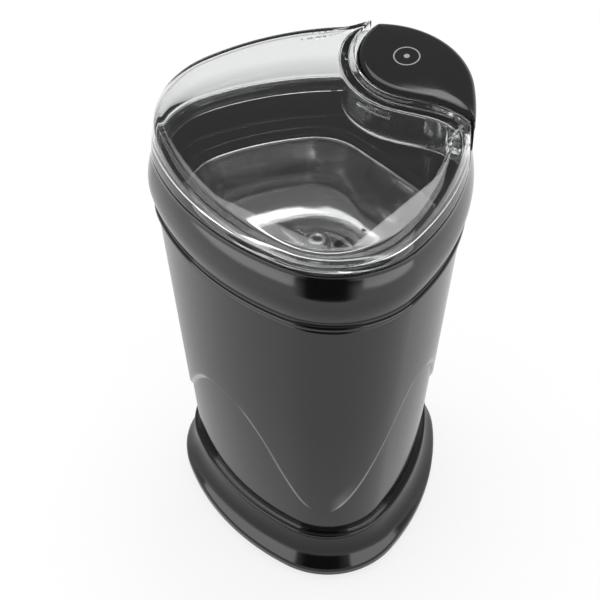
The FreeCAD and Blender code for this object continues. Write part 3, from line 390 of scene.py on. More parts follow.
# %% Clear acrylic
def clear_acrylic(name):
    """Clear shader for the eye, mixed with a transparent one that only lamps' shadow rays meet."""
    made, tree, place = start_finish(name)
    scratches = add(tree, "TexNoise", {"Vector": place, "Scale": 1.0 / 0.004, "Detail": 4.0,
                                       "Roughness": 0.7})
    dull = add(tree, "MapRange", {"Value": scratches.outputs["Fac"], "From Min": 0.5, "From Max": 0.8,
                                  "To Min": 0.0, "To Max": 0.05})
    clear = add(tree, "BsdfPrincipled", {"Base Color": linear("#f1f2f2"), "IOR": 1.49,
                                         "Transmission Weight": 1.0, "Roughness": dull.outputs["Result"]})
    passing = add(tree, "BsdfTransparent", {"Color": linear("#f4f5f5")})
    ray = add(tree, "LightPath")
    mixed = add(tree, "MixShader", {0: ray.outputs["Is Shadow Ray"], 1: clear.outputs["BSDF"],
                                    2: passing.outputs["BSDF"]})
    close_finish(tree, mixed.outputs["Shader"])
    return made


finishes["clear_plastic"] = clear_acrylic("clear_acrylic")

# %% [markdown]
# ## Metals
# The bowl is pressed from stainless steel sheet and polished while it turns, so that fine rings
# run round the axis, drawn here 0.8 mm apart to show at all. The blade is ground flat, with lines
# across it. Screws and pins are zinc plated. Copper wire and bronze bushes are inside.

# %% Stainless steel, zinc, copper and bronze
def turned_steel(name, tones, roughness, ring_pitch):
    """Rings by the distance from the axis: noise read along that distance, so each ring differs."""
    made, tree, place = start_finish(name)
    flat = add(tree, "Mapping", {"Vector": place, "Scale": (1.0, 1.0, 0.0)})
    away = add(tree, "VectorMath", {"Vector": flat.outputs["Vector"]}, operation="LENGTH")
    rings = add(tree, "TexNoise", {"W": away.outputs["Value"], "Scale": 1.0 / ring_pitch, "Detail": 2.0},
                noise_dimensions="1D")
    haze = add(tree, "TexNoise", {"Vector": place, "Scale": 1.0 / 0.02, "Detail": 3.0})
    patterned(tree, tones, haze.outputs["Fac"], rings.outputs["Fac"], (roughness * 0.7, roughness * 1.4),
              (0.06, 0.0004), {"Metallic": 1.0})
    return made


def lined_metal(name, tones, roughness, stretch):
    """Lines from a noise squeezed along one direction: stretch is the pitch in metres on X, Y and Z."""
    made, tree, place = start_finish(name)
    squeezed = add(tree, "Mapping", {"Vector": place, "Scale": tuple(1.0 / pitch for pitch in stretch)})
    lines = add(tree, "TexNoise", {"Vector": squeezed.outputs["Vector"], "Scale": 1.0, "Detail": 3.0})
    patterned(tree, tones, lines.outputs["Fac"], lines.outputs["Fac"], (roughness * 0.7, roughness * 1.3),
              (0.15, 0.0003), {"Metallic": 1.0})
    return made


finishes["bowl_steel"] = turned_steel("polished_stainless_bowl", ("#b4b4b3", "#cdcdcb"), 0.16, 0.0008)
for slot, name, tones, roughness, stretch in (
        ("blade_steel", "ground_stainless_blade", ("#9a9a9a", "#c4c4c3"), 0.24, (0.0006, 0.012, 0.0006)),
        ("steel", "zinc_plated_steel", ("#97989b", "#bcbdbf"), 0.3, (0.003, 0.003, 0.0008)),
        ("core_steel", "varnished_core_sheets", ("#3a3a3d", "#6a6a6d"), 0.4, (0.02, 0.02, 0.0007)),
        ("copper", "enamelled_copper_wire", ("#8a421d", "#c8713c"), 0.28, (0.012, 0.012, 0.0006)),
        ("bronze", "sintered_bronze", ("#9a7740", "#c9a263"), 0.42, (0.001, 0.001, 0.001))):
    finishes[slot] = lined_metal(name, tones, roughness, stretch)

# %% [markdown]
# ## Rubber, nylon and carbon
# The foot ring is moulded rubber, blasted in its mould to a fine matt grain of about 0.5 mm.
# Inner pieces are moulded nylon, and the brushes are pressed carbon.

# %% Matt mouldings
def grained(name, tones, roughness, grain, depth):
    """Grain of a size in metres, as colour, roughness and relief from one noise."""
    made, tree, place = start_finish(name)
    speck = add(tree, "TexNoise", {"Vector": place, "Scale": 1.0 / grain, "Detail": 3.0})
    patterned(tree, tones, speck.outputs["Fac"], speck.outputs["Fac"],
              (roughness - 0.08, roughness + 0.08), (0.3, depth), {"IOR": 1.5})
    return made


for slot, name, tones, roughness, grain, depth in (
        ("rubber", "matt_moulded_rubber", ("#191919", "#262626"), 0.75, 0.0005, 0.0002),
        ("inner_plastic", "moulded_nylon_black", ("#242426", "#2e2e30"), 0.5, 0.0009, 0.0001),
        ("terminal_plastic", "moulded_nylon_natural", ("#bdb9ab", "#cfccc0"), 0.5, 0.0012, 0.0001),
        ("carbon", "pressed_carbon", ("#26262a", "#3a3a3c"), 0.55, 0.0006, 0.0002)):
    finishes[slot] = grained(name, tones, roughness, grain, depth)

for part in frame["record"]["subparts"]:
    solid = frame["nodes"][part["node"]].data
    solid.materials.clear()
    solid.materials.append(finishes[part["material_slot"]])
print("finishes:", sorted(finishes))

# %% [markdown]
# ## The body and its wave
# The body narrows from the collar to the base. Below a wave line it is set back by 0.9 mm. A
# texture could fake the step, but a real one shows in the outline and bends every reflection that
# crosses it. The grid's rows follow the wave, closest together at the step, and an attribute
# marks its edge for a painted highlight, the grey line.

# %% Wave line, turning at these bearings in degrees and heights over the joint
BODY_TAPER, RELIEF, STEP = 5.2, 0.9, 1.5
WAVE_TURNS = np.array([(-92.0, 54.8), (-39.0, 12.2), (8.0, 65.3), (75.0, 14.8), (140.0, 58.8),
                       (205.0, 12.8), (268.0, 54.8)])


def body_across(height):
    """How far the body stands inside the plan: in proportion to the distance below the collar."""
    return -BODY_TAPER * (seam_z - height) / (seam_z - joint_z)


def wave_height(bearing):
    """Height of the line: from one turn to the next it follows half a cosine. The first leg starts
    slower, by raising its share to the power 1.4."""
    degrees = (np.degrees(bearing) + 92.0) % 360.0 - 92.0
    leg = np.clip(np.searchsorted(WAVE_TURNS[:, 0], degrees, side="right") - 1, 0, 5)
    start, stop = WAVE_TURNS[leg], WAVE_TURNS[leg + 1]
    share = (degrees - start[:, 0]) / (stop[:, 0] - start[:, 0])
    share = np.where(leg == 0, np.abs(share) ** 1.4, share)
    return joint_z + start[:, 1] + (stop[:, 1] - start[:, 1]) * (1.0 - np.cos(math.pi * share)) / 2.0


# %% Body shell
def body_grid():
    """Rows of the outer face follow the wave line and its step; the inner face is 2.2 mm inside."""
    bearing = np.arctan2(outline[:, 1], outline[:, 0])
    wave = wave_height(bearing)
    pace = np.linalg.norm(np.roll(outline, -1, 0) - np.roll(outline, 1, 0), axis=1)
    tilt = np.sqrt(1.0 + ((np.roll(wave, -1) - np.roll(wave, 1)) / pace) ** 2)
    across_step = np.array([-1.8, -1.2, -0.86, -0.74, -0.6, -0.3, 0.0, 0.3, 0.6, 0.74, 0.86, 1.2, 1.8])
    below = wave[None] + across_step[0] * tilt[None]
    above = wave[None] + across_step[-1] * tilt[None]
    share = np.concatenate([np.linspace(0.0, 0.985, 12), [1.0]])[:, None]
    heights = np.concatenate([joint_z + 0.3 + (below - joint_z - 0.3) * (1.0 - share[:0:-1]),
                              wave[None] + across_step[:, None] * tilt[None],
                              above + (seam_z - 0.3 - above) * share[1:]])
    ramp = np.clip((heights - wave) / tilt / STEP + 0.5, 0.0, 1.0)
    set_back = RELIEF * (1.0 - ramp)
    across = body_across(heights) - set_back
    ends = [(joint_z, -0.25), (joint_z, -1.9), (seam_z, -1.9), (seam_z, -0.25)]
    end_heights = np.array([[height] * len(wave) for height, _ in ends])
    end_across = np.stack([body_across(height) + inset - (RELIEF if height == joint_z else 0.0)
                           for height, inset in ends])[:, None] * np.ones(len(wave))
    heights = np.concatenate([end_heights[:1], heights, end_heights[:0:-1]])
    across = np.concatenate([end_across[:1], across, end_across[:0:-1]])
    flat = outline[None] + across[..., None] * outward[None]
    return np.concatenate([flat, heights[..., None]], -1)


def mark_painted_highlight(piece):
    """Attribute for the painted highlight, a grey line: largest 0.8 mm above the step's middle and none
    1.2 mm further off, and only where the wave is steep, since its low turns show no light line."""
    mesh = piece.data
    places = np.empty(len(mesh.vertices) * 3)
    mesh.vertices.foreach_get("co", places)
    places = places.reshape(-1, 3) / MM
    bearing = np.arctan2(places[:, 1], places[:, 0])
    rise = wave_height(bearing + 0.01) - wave_height(bearing - 0.01)
    steep = np.sqrt(1.0 + (rise / (0.02 * np.hypot(places[:, 0], places[:, 1]))) ** 2)
    off = np.abs((places[:, 2] - wave_height(bearing)) / steep - 0.8)
    share = np.clip(1.0 - off / 1.2, 0.0, 1.0) * np.clip((steep - 1.12) / 0.35, 0.0, 1.0)
    # The share is how strongly the painted highlight, a light grey, shows at each point.
    mesh.attributes.new("edge", "FLOAT", "POINT").data.foreach_set("value", share)


# The body gets the painted highlight along its wave step.
mark_painted_highlight(make_piece("body_tower", [grid_skin(body_grid())], "housing", "body_plastic", ["body_shell"]))

# %% [markdown]
# ## The base
# The skirt flares out to the table, and a bead lies round the foot of the body like a piece of
# cord. Its profile is a closed line of arcs, carried once round the plan.

# %% Base ring
def base_profile():
    """Closed profile: hollow skirt, groove, bead and the inner wall down to the skirt's edge."""
    top = body_across(joint_z)
    skirt = swell((0.46, base_z + 2.6), (top + 0.35, joint_z - 3.2), -1.3)
    bead_middle = np.array([top + 0.25, joint_z - 1.1])
    bead = bead_middle + 1.1 * toward(np.radians(np.linspace(-40.0, 100.0, 13)))
    rest = moulded([(top + 0.2, joint_z, 0.0), (top - 2.2, joint_z, 0.2),
                    (top - 2.2, joint_z - 3.0, 0.5), (-1.9, base_z + 4.5, 0.5), (-1.9, base_z, 0.3),
                    (0.5, base_z, 0.5)], closed=False)
    return np.concatenate([skirt, bead, rest])


make_piece("base_skirt", [grid_skin(around(base_profile()))], "housing", "trim_plastic", ["base_ring"])

# %% [markdown]
# ## Loops that aren't the plan
# The bowl has a straight back, and the lid and button meet along an S. Such a loop is joined
# from two runs of points, with a short curve at each of its two corners, and each side is
# divided evenly into the same number of steps, so that a patch can span the two sides later. An
# inset is held back where the loop is narrow, by the largest circle that fits inside it there.

# %% Joined loops and their insets
def arc_run(centre, radius, first, last, steps=160):
    """Run of points on a circle between two directions in radians."""
    return np.array(centre) + radius * toward(np.linspace(first, last, steps))


def along_run(run):
    """Distance travelled at each point of a run."""
    return np.concatenate([[0.0], np.cumsum(np.linalg.norm(np.diff(run, axis=0), axis=1))])


def take_run(run, start, stop, count):
    """Even points of a run, from a distance after its start to a distance before its end."""
    along = along_run(run)
    want = np.linspace(start, along[-1] - stop, count)
    return np.stack([np.interp(want, along, run[:, axis]) for axis in (0, 1)], 1)


def corner_curve(before, joint, after):
    """Curve of second degree: (1-s)^2 before + 2s(1-s) joint + s^2 after, in two halves."""
    share = np.linspace(0.0, 1.0, 41)[:, None]
    curve = (1 - share) ** 2 * before + 2 * share * (1 - share) * joint + share ** 2 * after
    return curve[:21], curve[20:]


def joined_loop(first, second, soft, half=300):
    """Anticlockwise loop of two runs. Gives its points, outward directions and, for blending, the
    share of the first run: 1 along it, 0 along the second, easing over soft at the corners."""
    middle = [take_run(run, soft, soft, 800) for run in (first, second)]
    turn_in = corner_curve(middle[1][-1], second[-1], middle[0][0])
    turn_out = corner_curve(middle[0][-1], first[-1], middle[1][0])
    sides = [np.concatenate([turn_in[1], middle[0][1:-1], turn_out[0]]),
             np.concatenate([turn_out[1], middle[1][1:-1], turn_in[0]])]
    points = np.concatenate([take_run(side, 0.0, 0.0, half + 1)[:-1] for side in sides])
    ahead = np.roll(points, -1, 0) - np.roll(points, 1, 0)
    out = np.stack([ahead[:, 1], -ahead[:, 0]], 1) / np.linalg.norm(ahead, axis=1)[:, None]
    from_tip = np.concatenate([np.minimum(step, half - step) * along_run(side)[-1] / half * sign
                               for side, sign, step in zip(sides, (1.0, -1.0), [np.arange(half)] * 2)])
    share = np.clip(0.5 + from_tip / (2.0 * soft), 0.0, 1.0)
    return points, out, share * share * (3.0 - 2.0 * share)


def room_inside(points, out):
    """Radius of the largest circle that touches the loop at each point from inside: over all other
    points, the least distance squared over twice the distance along the inward direction."""
    apart = points[:, None] - points[None]
    inward = (apart * out[:, None]).sum(-1)
    square = (apart ** 2).sum(-1)
    return np.where(inward > 1e-3, square / np.maximum(2.0 * inward, 1e-6), 1e9).min(1)


def inset(points, out, by, room):
    """Moves points inwards: by as asked up to half the room, and ever less beyond that."""
    over = np.maximum(by - 0.5 * room, 0.0)
    held = np.minimum(by, 0.5 * room) + 0.4 * room * (1.0 - np.exp(-over / (0.4 * room)))
    return points - out * held[..., None]


def two_profile_grid(loop, rows_first, rows_second, top):
    """Rows are (inset, height, 1 if measured from the top). Each column blends the two lists by its
    share; top gives the height of the sloping top over a point."""
    points, out, share = loop
    first, second = np.array(rows_first), np.array(rows_second)
    depth = first[:, None, 0] * share + second[:, None, 0] * (1.0 - share)
    flat = inset(points[None], out[None], depth, room_inside(points, out)[None])
    slope = top(flat)
    height = ((first[:, None, 1] + first[:, None, 2] * slope) * share
              + (second[:, None, 1] + second[:, None, 2] * slope) * (1.0 - share))
    return np.concatenate([flat, height[..., None]], -1)


def spanned(row, top, crown=0.0, steps=14):
    """Patch across a loop: rungs join its two sides, and rise by crown in the middle."""
    half = len(row) // 2
    near = row[:half + 1]
    far = np.concatenate([row[half:], row[:1]])[::-1]
    share = np.linspace(0.0, 1.0, steps)[:, None, None]
    grid = near[None] * (1.0 - share) + far[None] * share
    across = share[..., 0]
    wide = np.minimum(1.0, np.linalg.norm(far - near, axis=1) / 20.0)
    edge = (near[:, 2] - top(near))[None] * (1.0 - across) + (far[:, 2] - top(far))[None] * across
    grid[..., 2] = top(grid) + edge + crown * np.sin(math.pi * across) * wide
    return patch_skin(grid)


# %% [markdown]
# ## The collar and its deck
# The collar bulges between a bead at its foot and the rim that the lid stands on. Inside, its
# wall drops to a deck with an opening for the bowl. The outer rows follow the plan and the
# innermost ones the bowl's loop; each column keeps its own direction from the axis.

# %% The bowl's loop, and the push rod's place
BOWL_INSET, RIM_BACK = 9.0, 29.7
ROD = (15.5, 35.0)


def bowl_loop(across, back, soft=8.0):
    """Plan moved out by across, cut off straight at a distance behind the axis, corners softened."""
    ring, ring_out = plan_points(2400)
    ring = ring + across * ring_out
    ring = np.roll(ring, -int(np.argmax(ring[:, 1])), 0)
    front = ring[ring[:, 1] < back]
    chord = np.linspace(front[-1], front[0], 200)
    return joined_loop(front, chord, soft, 270)


def bearing_match(loop_points, across):
    """Plan points moved out by across, in the same directions from the axis as another loop's."""
    ring, ring_out = plan_points(4000)
    ring = ring + across * ring_out
    bearing = np.arctan2(ring[:, 1], ring[:, 0])
    order = np.argsort(bearing)
    want = np.arctan2(loop_points[:, 1], loop_points[:, 0])
    reach = np.interp(want, bearing[order], np.linalg.norm(ring, axis=1)[order], period=2.0 * math.pi)
    return toward(want) * reach[:, None]


def collar_profile():
    """Outer side from the deck's edge up the inner wall, over the rim and down to the spigot."""
    inner = moulded([(-4.6, deck_z, 0.0), (-2.3, deck_z, 1.2), (-2.3, rim_z, 0.45),
                     (0.0, rim_z, 0.5), (0.0, rim_z - 1.0, 0.0)], closed=False)
    bulge = swell((0.02, rim_z - 1.0), (0.15, seam_z + 3.1), -1.85, 22)
    bead_middle = np.array([-0.35, seam_z + 1.6])
    bead = bead_middle + 1.3 * toward(np.radians(np.linspace(62.0, -75.0, 12)))
    foot = moulded([(-0.1, seam_z + 0.15, 0.0), (-2.5, seam_z + 0.15, 0.3),
                    (-2.5, seam_z - 6.0, 0.4), (-4.0, seam_z - 6.0, 0.4),
                    (-4.0, deck_z - 6.4, 0.8), (-5.0, deck_z - 6.4, 0.0)], closed=False)
    return np.concatenate([inner, bulge[1:], bead, foot])


def collar_skins():
    """The ring, its deck out to the bowl's loop and the guide for the push rod."""
    loop, _, _ = bowl_loop(-BOWL_INSET + 0.25, RIM_BACK + 0.25)
    rows = []
    for across, height in collar_profile():
        flat = bearing_match(loop, across)
        rows.append(np.concatenate([flat, np.full((len(loop), 1), height)], 1))
    ring = np.stack(rows)
    hole = np.concatenate([loop, np.full((len(loop), 1), deck_z)], 1)
    away = (ring[0] - hole) / np.linalg.norm(ring[0] - hole, axis=1)[:, None]
    edge = 0.5 * (1.0 - toward(np.linspace(0.0, math.pi / 2.0, 6)))
    lips = np.stack([hole - [0.0, 0.0, drop] for drop in (6.4, 6.0, 4.0, 1.5, 0.7)]
                    + [hole + away * across - [0.0, 0.0, fall] for across, fall in edge])
    share = np.array([0.04, 0.2, 0.5, 0.8, 0.94])[:, None, None]
    top = lips[-1] + (ring[0] - lips[-1])[None] * share
    low = lips[0] + (ring[-1] - lips[0])[None] * share[::-1]
    grid = np.concatenate([ring, low, lips, top])
    sleeve = moulded([(2.1, deck_z - 5.5, 0.0), (4.4, deck_z - 5.5, 0.3), (4.4, deck_z + 9.1, 0.5),
                      (3.45, deck_z + 9.1, 0.25), (3.45, deck_z + 7.1, 0.0), (2.1, deck_z + 7.1, 0.0)])
    return [grid_skin(grid), grid_skin(around(sleeve, *rod_circle()))]


def rod_circle(count=64):
    """Circle of no size round the push rod: its points coincide and its directions fan out."""
    out = toward(np.linspace(0.0, 2.0 * math.pi, count, endpoint=False))
    return np.array([ROD]) + 0.0 * out, out


make_piece("collar_and_deck", collar_skins(), "housing", "trim_plastic", ["collar_ring"])

# %% [markdown]
# ## The steel bowl
# The bowl is one sheet of stainless steel, 0.8 mm thick, pressed to a rounded triangle with a
# flat back. A rim lies on the deck, the wall leans in a little, and a broad curve leads to the
# floor, which turns from the lobed outline to circles round the shaft.

# %% Bowl
def bowl_rows():
    """Levels of the inner face: (out of the plan, height, flat back, corner softness)."""
    straight = bowl_z - 10.0
    wall = [(-9.0, bowl_z - 0.1, 29.7, 9.0), (-9.3, bowl_z, 29.4, 9.0), (-9.8, bowl_z, 28.9, 9.0),
            (-10.2, bowl_z - 0.2, 28.5, 9.0), (-10.5, bowl_z - 0.7, 28.2, 9.0),
            (-10.8, bowl_z - 2.0, 28.0, 9.0), (-11.6, bowl_z - 5.5, 27.8, 10.0),
            (-12.6, straight, 27.5, 11.0)]
    for share in np.linspace(0.0, 1.0, 16)[1:]:
        angle = share * math.pi / 2.0
        wall.append((-12.6 - 12.6 * (1.0 - math.cos(angle)) - 0.6 * share,
                     straight - (straight - floor_z) * math.sin(angle),
                     27.5 - 9.0 * (1.0 - math.cos(angle)), 11.0 + 2.0 * share))
    return wall


def bowl_side(levels, lift):
    """One face of the sheet: levels as loops, then rows that turn from the lobes to circles round
    the shaft, all moved by lift."""
    rows = []
    for across, height, back, soft in levels:
        flat, _, _ = bowl_loop(across, back, soft)
        rows.append((flat, height))
    lobes = rows[-1][0]
    spokes = toward(np.arctan2(lobes[:, 1], lobes[:, 0]))
    for share in np.linspace(0.0, 1.0, 10)[1:]:
        rows.append((lobes * (1.0 - share) + spokes * 15.0 * share, floor_z + lift - 0.25 * share))
    for radius, rise in ((13.6, -0.3), (12.6, -0.15), (11.9, 0.35), (11.2, 0.65), (10.4, 0.7),
                         (8.0, 0.7), (6.2, 0.7)):
        rows.append((spokes * radius, floor_z + lift + rise))
    return np.stack([np.concatenate([flat, np.full((len(flat), 1), height)], 1) for flat, height in rows])


def bowl_grid(sheet=0.8):
    """Inner face from the rim to the hole for the seal, then the outer face back up: each level of
    the outer face is the inner one moved by the sheet's thickness, square to the profile."""
    inner = np.array(bowl_rows())
    along = np.gradient(inner[:, :2], axis=0)
    away = np.stack([-along[:, 1], along[:, 0]], 1) / np.linalg.norm(along, axis=1)[:, None]
    away[0], away[-1] = (0.0, -1.0), (0.0, -1.0)
    outer = inner.copy()
    outer[:, 0] += sheet * away[:, 0]
    outer[:, 1] += sheet * away[:, 1]
    outer[:, 2] += sheet * away[:, 0]
    return np.concatenate([bowl_side(inner, 0.0), bowl_side(outer, -sheet)[::-1]])


make_piece("steel_bowl", [grid_skin(bowl_grid())], "housing", "bowl_steel", ["grinding_bowl"])

# %% [markdown]
# ## The S-shaped wall
# The pocket for the button starts as a hollow arc, runs straight and ends over a round crest.
# Lines at other distances from it are the same arcs with another radius, so that the clear
# ledge and the button's edge stay exactly parallel.

# %% S line and where it leaves the plan
VALLEY, VALLEY_RADIUS = np.array([-1.8, 43.6]), 24.6
CREST, CREST_RADIUS = np.array([27.6, 10.0]), 19.1


def s_run(shift, count=900):
    """The S moved back by shift, from left to right: hollow arc, tangent line, crest arc."""
    span = CREST - VALLEY
    lean = math.acos((VALLEY_RADIUS + CREST_RADIUS) / np.linalg.norm(span))
    meet = math.atan2(span[1], span[0]) - lean
    hollow = arc_run(VALLEY, VALLEY_RADIUS - shift, -math.pi, meet, count)
    crest = arc_run(CREST, CREST_RADIUS + shift, meet + math.pi, math.radians(10.0), count)
    bridge = np.linspace(hollow[-1], crest[0], 60)[1:-1]
    return np.concatenate([hollow, bridge, crest])


def split_by_s(shift, across):
    """Cuts the plan, moved out by across, along the S. Returns the S from left to right, the plan
    behind it from right to left, and the plan in front of it from left to right."""
    ring, ring_out = plan_points(6000)
    ring = ring + across * ring_out
    line = s_run(shift)
    line = line[np.linalg.norm(line, axis=1) < np.linalg.norm(bearing_match(line, across), axis=1)]
    left = int(np.argmin(np.linalg.norm(ring - line[0], axis=1)))
    right = int(np.argmin(np.linalg.norm(ring - line[-1], axis=1)))
    ring = np.roll(ring, -right, 0)
    turn = (left - right) % len(ring)
    behind, front = ring[:turn + 1], np.concatenate([ring[turn:], ring[:1]])
    line[0], line[-1] = behind[-1], behind[0]
    return line, behind, front


LID_SLOPE, RISE_DIRECTION, LID_MIDDLE = 10.1, 125.6, 13.4


def lid_top(points):
    """Height of the lid's sloping top over points of the plan."""
    rise = math.tan(math.radians(LID_SLOPE)) * toward(math.radians(RISE_DIRECTION))
    return lid_z + LID_MIDDLE + points[..., 0] * rise[0] + points[..., 1] * rise[1]


s_line, _, plan_front = split_by_s(4.0, 0.0)
print("S line: left end %s, right end %s" % (s_line[0].round(1), s_line[-1].round(1)))

# %% [markdown]
# ## The clear lid
# The lid is one moulding: roof, wall and lip in front, and a wall and ledge along the S. Its
# profile has two versions with the same number of points, one for the outer wall and one for
# the S, and the corners blend them. Made this way, roof and walls are one closed skin with no
# inner faces, which clear material needs to bend light properly.

# %% Lid in front of the S
def lid_rows():
    """Outer wall and S wall, each from the roof's top round to its underside."""
    edge = 3.4 * toward(np.radians(np.linspace(90.0, 4.0, 12)))
    outer = [(6.0, 0.0, 1), (5.2, 0.0, 1)] + [(4.7 - x, z - 3.4, 1) for x, z in edge]
    middle = 0.5 * (lid_z - 2.6)
    outer += [(0.6, middle, 0.5), (0.12, lid_z + 1.0, 0), (0.05, lid_z + 0.25, 0), (0.3, lid_z, 0),
              (1.2, lid_z, 0), (2.45, lid_z, 0), (2.6, lid_z - 0.2, 0), (2.6, lid_z - 3.2, 0),
              (2.9, lid_z - 3.6, 0), (4.2, lid_z - 3.6, 0), (4.6, lid_z - 3.2, 0),
              (4.6, lid_z + 0.4, 0), (4.2, lid_z + 0.8, 0),
              (2.6, lid_z + 0.8, 0), (2.2, lid_z + 1.0, 0), (2.4, middle, 0.5), (2.6, -3.5, 1),
              (3.0, -2.9, 1), (3.7, -2.5, 1), (4.8, -2.4, 1), (6.4, -2.4, 1)]
    small = 0.7 * toward(np.radians(np.linspace(90.0, 0.0, 12)))
    ledge = [(2.0, 0.0, 1), (1.2, 0.0, 1)] + [(0.7 - x, z - 0.7, 1) for x, z in small]
    ledge += [(0.0, -1.6, 1), (0.1, -2.2, 1), (0.5, -2.4, 1), (1.5, -2.4, 1), (1.85, -2.6, 1),
              (2.0, -3.2, 1), (2.0, -5.0, 1), (2.0, lid_z + 2.6, 0), (2.0, lid_z + 0.5, 0),
              (2.3, lid_z + 0.05, 0), (3.5, lid_z + 0.05, 0), (3.9, lid_z + 0.4, 0),
              (4.0, lid_z + 1.0, 0), (4.0, lid_z + 2.6, 0), (4.0, -7.0, 1), (4.0, -5.0, 1),
              (4.05, -4.2, 1), (4.2, -3.3, 1),
              (4.7, -2.6, 1), (5.4, -2.4, 1), (6.4, -2.4, 1)]
    return outer, ledge


def capped(rows, top, crown=0.0):
    """A wall's grid with a patch across its first and its last row."""
    return [grid_skin(rows, ring=False, fans=False), spanned(rows[0], top, crown), spanned(rows[-1], top)]


def lid_skins():
    """The wall's grid, and the roof's two faces as patches of rungs between the wall and the S."""
    outer, ledge = lid_rows()
    rows = two_profile_grid(joined_loop(plan_front, s_line[::-1], 2.5, 340), outer, ledge, lid_top)
    return capped(rows, lid_top)


# %% Pocket floor, lip behind it, guide tube, rib and bar
def pocket_skins():
    """Floor between the S wall and a line 2.6 mm inside the plan. The lip goes on below its edge."""
    line, behind, _ = split_by_s(1.95, -2.6)
    floor = lid_z + 1.8
    shared = [(3.0, floor, 0), (0.6, floor, 0), (0.15, floor, 0), (0.0, floor - 0.2, 0),
              (0.0, lid_z + 0.5, 0)]
    along_s = shared + [(0.0, lid_z + 0.3, 0), (0.2, lid_z + 0.1, 0), (0.8, lid_z, 0), (1.4, lid_z, 0),
                        (2.0, lid_z, 0), (3.0, lid_z, 0)]
    along_plan = shared + [(0.0, lid_z - 3.2, 0), (0.3, lid_z - 3.6, 0), (1.6, lid_z - 3.6, 0),
                           (2.0, lid_z - 3.2, 0), (2.0, lid_z - 0.2, 0), (3.0, lid_z, 0)]
    level = lambda points: 0.0 * points[..., 0]
    rows = two_profile_grid(joined_loop(line, behind, 1.2, 220), along_s, along_plan, level)
    tube = moulded([(1.65, floor - 0.6, 0.0), (3.8, floor - 0.6, 0.0), (3.8, floor + 7.3, 0.4),
                    (2.9, floor + 7.3, 0.3), (2.9, floor + 0.2, 0.3), (1.65, floor + 0.2, 0.0)])
    return capped(rows, level) + [grid_skin(around(tube, *rod_circle()))]


S_START = 45.0


def s_rib(first, last, front, back, low, high):
    """Small rounded bar on the S wall, between two places along it, given as shares of its length
    in front of S_START."""
    path = s_run(front)
    path = take_run(path[path[:, 1] < S_START], 0.0, 0.0, 1000)
    start, stop = int(first * 999), int(last * 999)
    path = path[start:stop:max(1, (stop - start) // 40)]
    ahead = np.gradient(path, axis=0)
    side = np.stack([-ahead[:, 1], ahead[:, 0]], 1) / np.linalg.norm(ahead, axis=1)[:, None]
    section = moulded([(0.0, low, 0.0), (back - front, low, 0.35), (back - front, high, 0.35),
                       (0.0, high, 0.0)], steps=4)
    grid = np.stack([np.concatenate([path + side * across, np.full((len(path), 1), height)], 1)
                     for across, height in section], 1)
    return grid_skin(grid, ring=False)


rib_skins = [s_rib(0.66, 0.69, 1.8, 3.8, lid_z + 1.5, lid_z + 12.2),
             s_rib(0.33, 0.47, 1.8, 2.8, lid_z + 7.4, lid_z + 9.4)]
make_piece("clear_lid", lid_skins() + pocket_skins() + rib_skins, "lid", "clear_plastic",
           ["lid_shell"])

# %% [markdown]
# ## The push button
# The button fills the corner behind the S, crowned a little above the lid. Its top is a patch of
# rungs from one side of the loop to the other, so that the narrow tip on the right keeps an even
# grid. Its edge goes down further along the casing than along the pocket.

# %% Button
def button_skins():
    """Two profiles again: the skirt along the casing and the shallow edge along the pocket."""
    line, behind, _ = split_by_s(4.5, 0.1)
    crown = -0.1
    edge = 2.8 * toward(np.radians(np.linspace(88.0, 2.0, 12)))
    shared = [(4.2, crown + 0.14, 1), (3.4, crown + 0.06, 1)]
    shared += [(2.8 - x, z + crown - 2.8, 1) for x, z in edge]
    along_s = shared + [(0.0, -2.6, 1), (0.0, -3.2, 1), (0.3, -3.5, 1), (1.7, -3.5, 1),
                        (2.0, -3.2, 1), (2.0, -2.2, 1), (2.4, -1.3, 1), (4.4, -1.0, 1)]
    along_plan = shared + [(0.2, -4.0, 1), (0.0, lid_z + 3.7, 0), (0.2, lid_z + 3.4, 0),
                           (1.8, lid_z + 3.4, 0), (2.0, lid_z + 3.7, 0), (2.2, -4.0, 1),
                           (2.6, -2.2, 1), (4.4, -1.6, 1)]
    rows = two_profile_grid(joined_loop(line, behind, 1.6, 240), along_s, along_plan, lid_top)
    return capped(rows, lid_top, 0.25)


make_piece("push_button", button_skins(), "button", "button_plastic", ["button_cap"])

# %% [markdown]
# ## Blade and nut
# The blade is a flat steel strip whose two wings are twisted opposite ways, with their leading
# edges ground to a bevel. A domed nut holds it.

# %% Blade
def wing_skin(side):
    """Lens-like section with a ground edge, carried from the hub to the tip: it narrows by an
    ellipse at the tip and is tilted by 14 degrees."""
    section = np.array([(-4.0, -0.1), (-2.2, -0.7), (3.4, -0.7), (4.0, -0.3), (4.0, 0.3), (3.4, 0.7),
                        (-1.2, 0.7), (-4.0, 0.1)])
    reach = np.concatenate([np.linspace(3.5, 14.0, 8), 14.0 + 5.0 * np.sin(np.linspace(0.1, 1.5, 10))])
    narrow = np.sqrt(np.clip(1.0 - (np.clip(reach - 14.0, 0.0, 5.0) / 5.05) ** 2.4, 0.02, 1.0))
    across = section[None, :, 0] * narrow[:, None] + 0.6 * (narrow[:, None] - 1.0)
    height = section[None, :, 1] * np.ones((len(reach), 1))
    tilt = math.radians(14.0)
    grid = np.stack([reach[:, None] * np.ones_like(across),
                     across * math.cos(tilt) - height * math.sin(tilt),
                     across * math.sin(tilt) + height * math.cos(tilt) + blade_z + 0.7], -1)
    return grid_skin(grid * np.array([side, side, 1.0]), ring=False)


def turned_skin(profile, count=96):
    """Profile of (radius, height) carried round the axis."""
    out = toward(np.linspace(0.0, 2.0 * math.pi, count, endpoint=False))
    return grid_skin(around(profile, 0.0 * out, out))


